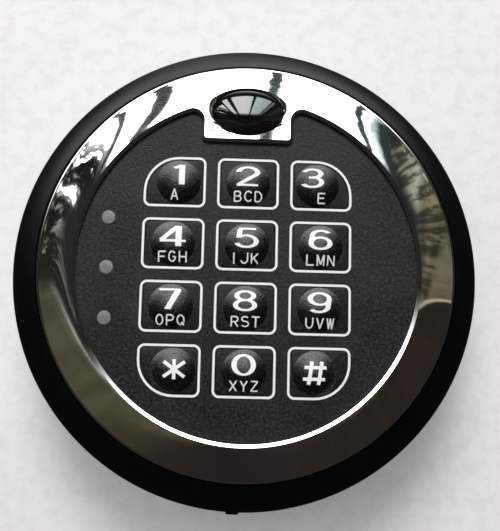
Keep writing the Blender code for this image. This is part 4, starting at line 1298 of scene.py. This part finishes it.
def makeHousing(style):
    rebate = bodyRadius - style["shoulderWidth"]
    ledge = panelLow.z - restGap
    ledgeUnder = ledge - style["ledge"]
    wellRadius = panelHigh.x - style["wellInset"]
    wellOuter = wellRadius + style["wellWall"]
    lip = style["lipRound"]
    outside = wallSide(shoulderRadius, housingHigh.z, style["footChamfer"], 30)
    outside[0] = (rebate + lip, housingHigh.z - lip * 0.35)
    inside = wallSide(shoulderRadius - style["wall"], ledgeUnder, 0, 10)
    profile = (
        [(0, deckTop), (wellRadius, deckTop), (wellRadius, ledge), (rebate, ledge)]
        + [(rebate, housingHigh.z - lip), (rebate + lip * 0.4, housingHigh.z - lip * 0.3)]
        + outside
        + [(bodyRadius - style["footChamfer"], 0)]
        + inside[::-1]
        + [(wellOuter, ledgeUnder), (wellOuter, deckBottom), (0, deckBottom)]
    )
    housing = addPiece(
        "housingShell", spinProfile(profile, 256), bodyBlack, "root",
        ("housing",), 28,
    )
    half = style["mouthHalf"]
    innerEnd = math.sqrt(innerRadius**2 - half**2) - overcut
    carve(housing, block(
        (-half, -bodyRadius - overcut, style["mouthLow"]), (half, -innerEnd, deckBottom)
    ))

    # openings in the deck for the buzzer, the socket and the wires
    low, high = deckBottom - overcut, deckTop + overcut
    gap = style["openingGap"]
    socketLow, socketHigh = nodeSize("cable_socket")[:2]
    buzzerHigh, buzzer = nodeSize("buzzer")[1:]
    left, front, right, rear = style["wireSlot"]
    carve(housing, gather([
        roundBar(buzzerHigh.x - buzzer.x + gap, low, high, (buzzer.x, buzzer.y), 64),
        block(
            (socketLow.x - gap, socketLow.y - gap, low),
            (socketHigh.x + gap, socketHigh.y + gap, high),
        ),
        block((left, drawerMiddle.y + front, low), (right, drawerMiddle.y + rear, high)),
    ]))

    # columns with their ribs, bosses and the rib that holds the leaf contacts
    shapes = []
    bore, radius, foot = style["columnBore"], style["columnRadius"], style["columnFoot"]
    edge = style["columnEdge"]
    for name in baseScrews:
        screw = nodeSize(name)[2]
        profile = [
            (bore, foot), (radius - edge, foot), (radius, foot + edge),
            (radius, ledgeUnder + restGap), (bore, ledgeUnder + restGap),
        ]
        shapes.append(spinProfile(profile, 40, closed=True, centre=(screw.x, screw.y)))
        rib = block(
            (
                math.hypot(screw.x, screw.y) + style["ribStart"], -style["ribWidth"] / 2,
                style["ribFoot"],
            ),
            (innerRadius + restGap, style["ribWidth"] / 2, deckBottom), style["ribEdge"],
        )
        swing(rib, math.atan2(screw.y, screw.x), "Z")
        shapes.append(rib)
    bore, radius = style["bossBore"], style["bossRadius"]
    low, high = deckBottom - style["bossDrop"], deckTop + style["bossRise"]
    for name in boardScrews:
        screw = nodeSize(name)[2]
        profile = [(bore, low), (radius, low), (radius, high), (bore, high)]
        shapes.append(spinProfile(profile, 32, closed=True, centre=(screw.x, screw.y)))
    contactLow, contactHigh = nodeSize("battery_contact_front")[:2]
    rearMiddle = nodeSize("battery_contact_rear")[2]
    front, rear = style["contactEnds"]
    shapes.append(block(
        (contactHigh.x + restGap, contactLow.y - front, style["contactFoot"]),
        (contactHigh.x + style["contactRib"], rearMiddle.y + rear, deckBottom + restGap),
        style["ribEdge"],
    ))
    addPiece("housingInside", gather(shapes), bodyBlack)


makeHousing(housingStyle)
print("housing made")


# The battery drawer, whose front is a stretch of the housing's wall

drawerStyle = {
    "frontHalf": 0.02835,
    "half": 0.02745,
    "wall": 0.0015,
    "floor": 0.0015,
    "cradle": 0.0120,
    "pullWidth": 0.0031,
    "pullHeight": 0.0070,
    "pullRise": 0.0070,
    "pullMiddle": -0.00175,
    "pullInset": 0.0022,
    "pullCorner": 0.0006,
    "trayInset": 0.0011,
    "runnerHeight": 0.0032,
    "runnerRear": -0.00032,
    "catchFront": -0.00332,
    "catchThickness": 0.0015,
    "catchReach": 0.0013,
    "catchFoot": 0.0029,
    "hookFoot": 0.0068,
    "catchTop": 0.0087,
    "rightStep": 0.003,
    "rightDrop": 0.0009,
    "rearRise": 0.0002,
    "edge": 0.0002,
    "smooth": 28,
    "windowSize": (0.0240, 0.0130),
    "windowCorner": 0.0030,
    "thumbRadius": 0.0080,
    "thumbDepth": 0.0060,
}


def trimSides(bm, half, rear):
    # keeps what lies between two side planes and before a rear one, and closes the cuts
    for point, normal in (
        ((half, 0, 0), (1, 0, 0)), ((-half, 0, 0), (-1, 0, 0)), ((0, rear, 0), (0, 1, 0)),
    ):
        made = bmesh.ops.bisect_plane(
            bm, geom=bm.verts[:] + bm.edges[:] + bm.faces[:], plane_co=point,
            plane_no=normal, clear_outer=True, dist=sliver,
        )
        rim = [item for item in made["geom_cut"] if isinstance(item, bmesh.types.BMEdge)]
        if rim:
            bmesh.ops.contextual_create(bm, geom=rim)
    bmesh.ops.recalc_face_normals(bm, faces=bm.faces)


def makeDrawer(style):
    batteryHigh, battery = nodeSize("battery")[1:]
    positive = nodeSize("battery_terminal_positive")[0]
    half, wall, edge = style["half"], style["wall"], style["edge"]
    floorLow, top = drawerLow.z, drawerHigh.z
    floorTop = floorLow + style["floor"]
    outside = wallSide(shoulderRadius, top, floorLow, 16)
    inside = wallSide(shoulderRadius - housingStyle["wall"], top, floorLow, 16)
    front = spinProfile(outside + inside[::-1], 256, closed=True)
    trimSides(front, style["frontHalf"], -0.02)
    drawer = addPiece(
        "drawer", front, bodyBlack, "battery_drawer",
        ("battery_drawer",), style["smooth"],
    )
    rear = batteryHigh.y + restGap + wall
    wallFront = -math.sqrt(innerRadius**2 - half**2) - restGap
    reach = bodyRadius - style["trayInset"]
    tray = spinProfile([(0, floorTop), (reach, floorTop), (reach, floorLow), (0, floorLow)], 256)
    trimSides(tray, half, rear)
    carve(drawer, tray, "UNION")

    # side walls, runners with their catches, and the pull tab
    right = batteryHigh.x + restGap
    rightTop = positive.z - restGap - style["rightDrop"]
    catchFront = style["catchFront"]
    catchRear = catchFront + style["catchThickness"]
    shapes = [
        block(
            (-half, wallFront, floorLow + restGap),
            (-half + wall, rear, floorLow + style["cradle"]), edge,
        ),
        block(
            (right, wallFront - style["rightStep"], floorLow + restGap),
            (right + wall, rear, rightTop), edge,
        ),
    ]
    for side in (-1, 1):
        near, far = sorted((side * (half - wall), side * half))
        shapes.append(block(
            (near, wallFront, floorLow),
            (far, style["runnerRear"], floorLow + style["runnerHeight"]), edge,
        ))
        shapes.append(block(
            (near, catchFront, floorLow + style["catchFoot"]),
            (far, catchRear, style["catchTop"]), edge,
        ))
        hook = housingStyle["mouthHalf"] + style["catchReach"]
        near, far = sorted((side * (half - wall / 2), side * hook))
        shapes.append(block(
            (near, catchFront, style["hookFoot"]), (far, catchRear, style["catchTop"]), edge,
        ))
    shapes.append(roundedPlate(
        style["pullWidth"], 2 * style["pullInset"], [style["pullCorner"]] * 4,
        floorLow + style["pullRise"], floorLow + style["pullRise"] + style["pullHeight"],
        (style["pullMiddle"], drawerLow.y + style["pullInset"]), 6, edge,
    ))
    addPiece("drawerWalls", gather(shapes), bodyBlack, "battery_drawer")

    # rear wall with its thumb notch, and the window in the floor
    rearShape = block(
        (-half, batteryHigh.y + restGap, floorLow + style["rearRise"]), (right + wall, rear, top),
        edge,
    )
    rearWall = addPiece(
        "drawerRear", rearShape, bodyBlack, "battery_drawer"
    )
    thumb = roundBar(style["thumbRadius"], -0.004, 0.004, (0, 0), 96)
    swing(thumb, math.pi / 2, "X")
    shift(thumb, (battery.x, rear, top - style["thumbDepth"] + style["thumbRadius"]))
    carve(rearWall, thumb)
    window = roundedPlate(
        *style["windowSize"], [style["windowCorner"]] * 4, floorLow - overcut,
        floorTop + overcut, (battery.x, battery.y), 10,
    )
    carve(drawer, window)


makeDrawer(drawerStyle)
print("drawer made")


# Base plate with the screws and brass inserts that show from below

baseStyle = {
    "thickness": 0.0025,
    "chamfer": 0.0004,
    "guideInner": 0.02775,
    "guideThickness": 0.0015,
    "guideTop": 0.0065,
    "guideRear": 0.00468,
    "bossRadius": 0.00445,
    "bossTop": 0.0090,
    "boreRadius": 0.0031,
    "boreTop": 0.0080,
    "cableRadius": 0.0055,
    "collarRadius": 0.0070,
    "collarTop": 0.0040,
    "sinkRadius": 0.0031,
    "shankRadius": 0.0017,
    "sinkTop": 0.0016,
    "sinkRim": 0.0002,
    "padRadius": 0.0470,
    "padWidth": 0.0012,
    "padDepth": 0.00025,
    "padSlope": 0.0001,
    "smooth": 28,
}


def makeBase(style):
    radius = nodeSize("base_plate")[1].x
    thick, chamfer, smooth = style["thickness"], style["chamfer"], style["smooth"]
    outer, depth, slope = style["padRadius"], style["padDepth"], style["padSlope"]
    inner = outer - style["padWidth"]
    profile = [
        (0, thick), (radius, thick), (radius, chamfer), (radius - chamfer, 0),
        (outer, 0), (outer - slope, depth), (inner + slope, depth), (inner, 0), (0, 0),
    ]
    base = addPiece(
        "base", spinProfile(profile, 192), baseBlack, "root", ("base_plate",),
        smooth,
    )
    foot = thick - restGap
    places = [(nodeSize(name)[2].x, 0) for name in inserts]
    raised = [
        roundBar(style["bossRadius"], foot, style["bossTop"], place, 56, 0.0003)
        for place in places
    ]
    raised.append(roundBar(style["collarRadius"], foot, style["collarTop"], (0, 0), 72, 0.0002))
    guideOuter = style["guideInner"] + style["guideThickness"]
    front = overcut - math.sqrt(radius**2 - guideOuter**2)
    for side in (-1, 1):
        near, end = sorted((side * style["guideInner"], side * guideOuter))
        raised.append(block((near, front, foot), (end, style["guideRear"], style["guideTop"])))
    for shape in raised:
        carve(base, shape, "UNION", smooth)
    holes = [
        roundBar(style["boreRadius"], -overcut, style["boreTop"], place, 56) for place in places
    ]
    holes.append(roundBar(style["cableRadius"], -overcut, 0.006, (0, 0), 72))
    shank, sink = style["shankRadius"], style["sinkRadius"]
    profile = [
        (0, thick + overcut), (shank, thick + overcut), (shank, style["sinkTop"]),
        (sink, style["sinkRim"]), (sink, -overcut), (0, -overcut),
    ]
    for name in baseScrews:
        place = nodeSize(name)[2]
        holes.append(spinProfile(profile, 40, centre=(place.x, place.y)))
    carve(base, gather(holes), degrees=smooth)


def crossRecess(arm, width, low, high, centre):
    bars = [
        block((-arm, -width / 2, low), (arm, width / 2, high)),
        block((-width / 2, -arm, low), (width / 2, arm, high)),
    ]
    for bar in bars:
        shift(bar, (*centre, 0))
    return bars


screwStyle = {
    "headRadius": 0.0028,
    "shankRadius": 0.0015,
    "rim": 0.00012,
    "armShare": 0.62,
    "slot": 0.0008,
    "depth": 0.0009,
    "threadPitch": 0.0009,
    "threadDepth": 0.00022,
    "threadEnd": 0.0006,
    "tipDrop": 0.0008,
    "smooth": 28,
}
insertStyle = {
    "outer": 0.0030,
    "waist": 0.0028,
    "thread": 0.00205,
    "crest": 0.00165,
    "groove": 0.0001,
    "start": 0.0004,
    "end": 0.0006,
    "edge": 0.0002,
    "turns": 9,
}


def makeBaseScrew(name, style):
    low, high, middle = nodeSize(name)
    head, shank, rim = style["headRadius"], style["shankRadius"], style["rim"]
    pitch = style["threadPitch"]
    cone = low.z + head - shank
    profile = [(0, high.z), (shank * 0.35, high.z - style["tipDrop"])]
    top = high.z - shank
    for turn in range(int((top - cone - style["threadEnd"]) / pitch)):
        height = top - turn * pitch
        profile.append((shank, height))
        profile.append((shank - style["threadDepth"], height - pitch * 0.5))
    profile += [
        (shank, cone), (head, low.z + rim), (head - rim * 0.4, low.z + rim * 0.3),
        (head - rim, low.z), (0, low.z),
    ]
    bm = spinProfile(profile, 40, centre=(middle.x, middle.y))
    screw = addPiece(
        name.replace("_", "Drive_"), bm, screwBlack, "root", (name,),
        style["smooth"],
    )
    for bar in crossRecess(
        head * style["armShare"], style["slot"], low.z - overcut, low.z + style["depth"],
        (middle.x, middle.y),
    ):
        carve(screw, bar, degrees=style["smooth"])


def makeInsert(name, style):
    low, high, middle = nodeSize(name)
    outer, waist, thread = style["outer"], style["waist"], style["thread"]
    crest, edge, turns = style["crest"], style["edge"], style["turns"]
    length = high.z - low.z
    threaded = length - 2 * style["end"]
    profile = [(crest, low.z + style["start"])]
    for turn in range(turns):
        height = low.z + style["end"] + threaded * turn / (turns - 1)
        profile.append((crest, height))
        profile.append((thread - style["groove"], height + threaded / turns * 0.4))
    profile = profile[:-1] + [
        (thread, high.z), (waist, high.z), (outer, high.z - edge),
        (outer, low.z + length * 0.62), (waist, low.z + length * 0.58),
        (waist, low.z + length * 0.42), (outer, low.z + length * 0.38),
        (outer, low.z + edge), (waist, low.z), (thread, low.z),
    ]
    bm = spinProfile(profile, 72, closed=True, centre=(middle.x, middle.y))
    addPiece(name.replace("_", "Brass_"), bm, insertBrass, "root", (name,), 28)


screwBlack = metalFinish("screwBlack", (0.045, 0.045, 0.048), 0.30, 1500)
screwZinc = metalFinish("screwZinc", (0.62, 0.62, 0.60), 0.28, 1500)
insertBrass = metalFinish("insertBrass", (0.78, 0.56, 0.24), 0.26, 1800)
makeBase(baseStyle)
for name in baseScrews:
    makeBaseScrew(name, screwStyle)
for name in inserts:
    makeInsert(name, insertStyle)
print("base made")


# Battery with its snap terminals

batteryStyle = {
    "corner": 0.0018,
    "rim": 0.0006,
    "studRadius": 0.00285,
    "crownRadius": 0.0038,
    "crownWall": 0.0008,
    "petals": 6,
    "petalSlot": 0.0006,
}


def jacketFinish():
    # steel jacket printed dark, with a copper band towards the terminals
    material, place = startMaterial("batteryJacket")
    x = place.parts()[0]
    low, high = nodeSize("battery")[:2]
    bandEdge = high.x - 0.0115
    band = x.rise(bandEdge - 0.00005, bandEdge + 0.00005)
    line = x.band(bandEdge - 0.0009, 0.0002, 0.00005)
    fold = (x - high.x).rise(-0.0009, -0.0006) + 1 - (x - low.x).rise(0.0006, 0.0009)
    scuff = place.noise(420, 5, 0.7).rise(0.58, 0.72)
    color = band.mix((0.018, 0.018, 0.020, 1), (0.55, 0.25, 0.10, 1))
    color = line.mix(color, (0.72, 0.72, 0.70, 1))
    color = (fold.math("MINIMUM", 1.0) * 0.9).mix(color, (0.62, 0.60, 0.56, 1))
    color = (scuff * 0.18).mix(color, (0.5, 0.5, 0.5, 1))
    rough = 0.30 + scuff * 0.2 + place.noise(1200, 3) * 0.08
    normal = place.noise(260, 4).bump(0.12, 0.00008)
    return fillShader(material, {
        "Base Color": color, "Metallic": fold.math("MINIMUM", 1.0) * 0.9, "Roughness": rough,
        "Coat Weight": 0.35, "Normal": normal,
    })


def alongX(bm, place):
    # a shape about the upright axis is laid along +X and set in its place
    swing(bm, math.pi / 2, "Y")
    shift(bm, place)
    return bm


def makeBattery(style):
    low, high, middle = nodeSize("battery")
    size = high - low
    plate = roundedPlate(size.z, size.y, [style["corner"]] * 4, 0, size.x)
    rim = [
        edge for edge in plate.edges
        if abs(edge.verts[0].co.z - edge.verts[1].co.z) < sliver
    ]
    roundEdges(plate, rim, style["rim"], 4)
    alongX(plate, (low.x, middle.y, middle.z))
    addPiece("batteryCell", plate, jacketFinish(), "battery_drawer", ("battery",), 40)
    for name, radius in (
        ("battery_terminal_positive", style["studRadius"]),
        ("battery_terminal_negative", style["crownRadius"]),
    ):
        low, high, middle = nodeSize(name)
        length = high.x - low.x
        if name.endswith("positive"):
            profile = [
                (0, length), (radius * 0.80, length), (radius * 0.94, length - 0.0001),
                (radius, length - 0.00035), (radius * 0.97, length * 0.62),
                (radius * 0.88, length * 0.45), (radius * 0.90, 0.0003), (radius * 1.0, 0),
                (0, 0),
            ]
        else:
            inner = radius - style["crownWall"]
            profile = [
                (0, length * 0.3), (inner * 0.98, length * 0.3), (inner * 0.90, length * 0.6),
                (inner, length - 0.0001), (radius - 0.0002, length), (radius, length - 0.0002),
                (radius * 0.93, length * 0.55), (radius * 0.94, length * 0.3),
                (radius, 0.0002), (radius, 0), (0, 0),
            ]
        bm = alongX(spinProfile(profile, 64), (low.x, middle.y, middle.z))
        terminal = addPiece(
            name.replace("_", "Snap_"), bm, terminalNickel, "battery_drawer",
            (name,), 35,
        )
        if name.endswith("negative"):
            slots = []
            for petal in range(style["petals"]):
                slot = block(
                    (-style["petalSlot"] / 2, inner * 0.6, length * 0.32),
                    (style["petalSlot"] / 2, radius + overcut, length + overcut),
                )
                swing(slot, math.tau * petal / style["petals"], "Z")
                slots.append(alongX(slot, (low.x, middle.y, middle.z)))
            carve(terminal, gather(slots), degrees=35)


terminalNickel = metalFinish("terminalNickel", (0.74, 0.71, 0.65), 0.20, 1600)
makeBattery(batteryStyle)
print("battery made")


# Sprung steel domes under the keys

snapStyle = {
    "sheet": 0.00018,
    "steps": 48,
    "keep": 0.3,
}
springSteel = metalFinish("springSteel", (0.66, 0.65, 0.61), 0.24, 2400)


def makeSnapDome(name, style):
    low, high, middle = nodeSize(name)
    radius, height = high.x - middle.x, high.z - low.z
    sphere = sphereRadius(radius, height)
    inner = sphere - style["sheet"]
    centre = (0, high.z - sphere)
    outerEnd = math.degrees(math.acos(radius / sphere))
    innerEnd = math.degrees(math.asin((low.z - centre[1]) / inner))
    outside = arcPoints(centre, (sphere, sphere), 90, outerEnd, 10)
    inside = arcPoints(centre, (inner, inner), innerEnd, 90, 10)
    profile = [(0, high.z)] + outside[1:] + inside[:-1] + [(0, high.z - style["sheet"])]
    bm = spinProfile(profile, style["steps"], centre=(middle.x, middle.y))
    spring = addPiece(
        name.replace("_dome_", "Spring_"), bm, springSteel, "root", (name,), 40
    )
    joint = name.replace("snap_dome", "key") + "_press"
    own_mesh(spring)


for name in keySigns:
    makeSnapDome(name.replace("key", "snap_dome"), snapStyle)
print("spring domes made")


# CAD nodes that stay as they are, in finishes of their own

def dress(material, *names):
    for name in names:
        mesh = nodes[name].data
        mesh.materials.clear()
        mesh.materials.append(material)


def boardFinish():
    # green solder mask with copper tracks under it and tinned pads
    material, place = startMaterial("boardGreen")
    level = place.stretch((1, 1, 0))
    track = 1 - level.voronoi(260, "DISTANCE_TO_EDGE").rise(0.0, 0.035)
    glass = level.noise(2600, 2)
    pad = 1 - level.voronoi(420).rise(0.10, 0.13)
    color = glass.mix((0.010, 0.075, 0.028, 1), (0.014, 0.105, 0.040, 1))
    color = (track * 0.75).mix(color, (0.030, 0.19, 0.065, 1))
    color = pad.mix(color, (0.66, 0.65, 0.62, 1))
    normal = (track * 0.6 + pad).bump(0.3, 0.00004)
    return fillShader(material, {
        "Base Color": color, "Metallic": pad * 0.9, "Roughness": 0.34 - pad * 0.06,
        "Coat Weight": 0.25, "Normal": normal,
    })


def nylonFinish():
    material, place = startMaterial("socketNylon")
    cloud = place.noise(500, 4).rise(0.3, 0.7)
    grain = place.noise(3000, 2)
    tone = cloud.mix((0.80, 0.77, 0.69, 1), (0.70, 0.67, 0.60, 1))
    return fillShader(material, {
        "Base Color": tone, "Roughness": 0.42 + (grain - 0.5) * 0.12,
        "Normal": grain.bump(0.2, 0.00003),
    })


def lampFinish():
    material, place = startMaterial("lampLens")
    haze = place.noise(2400, 3).rise(0.3, 0.7)
    tone = haze.mix((0.86, 0.84, 0.74, 1), (0.74, 0.70, 0.50, 1))
    return fillShader(material, {
        "Base Color": tone, "Roughness": 0.22 + haze * 0.12, "Coat Weight": 0.4,
        "Normal": haze.bump(0.15, 0.00002),
    })


chipBlack = plasticFinish("chipBlack", (0.016, 0.016, 0.017), 0.46, 5200, 0.00003)
buzzerBlack = plasticFinish("buzzerBlack", (0.012, 0.012, 0.012), 0.34, 3000, 0.00002)
contactBronze = metalFinish("contactBronze", (0.80, 0.50, 0.24), 0.24, 2000)
dress(boardFinish(), "circuit_board")
dress(chipBlack, "controller_chip")
dress(buzzerBlack, "buzzer")
dress(nylonFinish(), "cable_socket")
dress(lampFinish(), *names("led_", lampSides))
dress(panelBlack, "keypad_panel")
dress(screwZinc, *boardScrews)
dress(contactBronze, *names("battery_contact_", ("front", "rear")))
print("other pieces dressed")
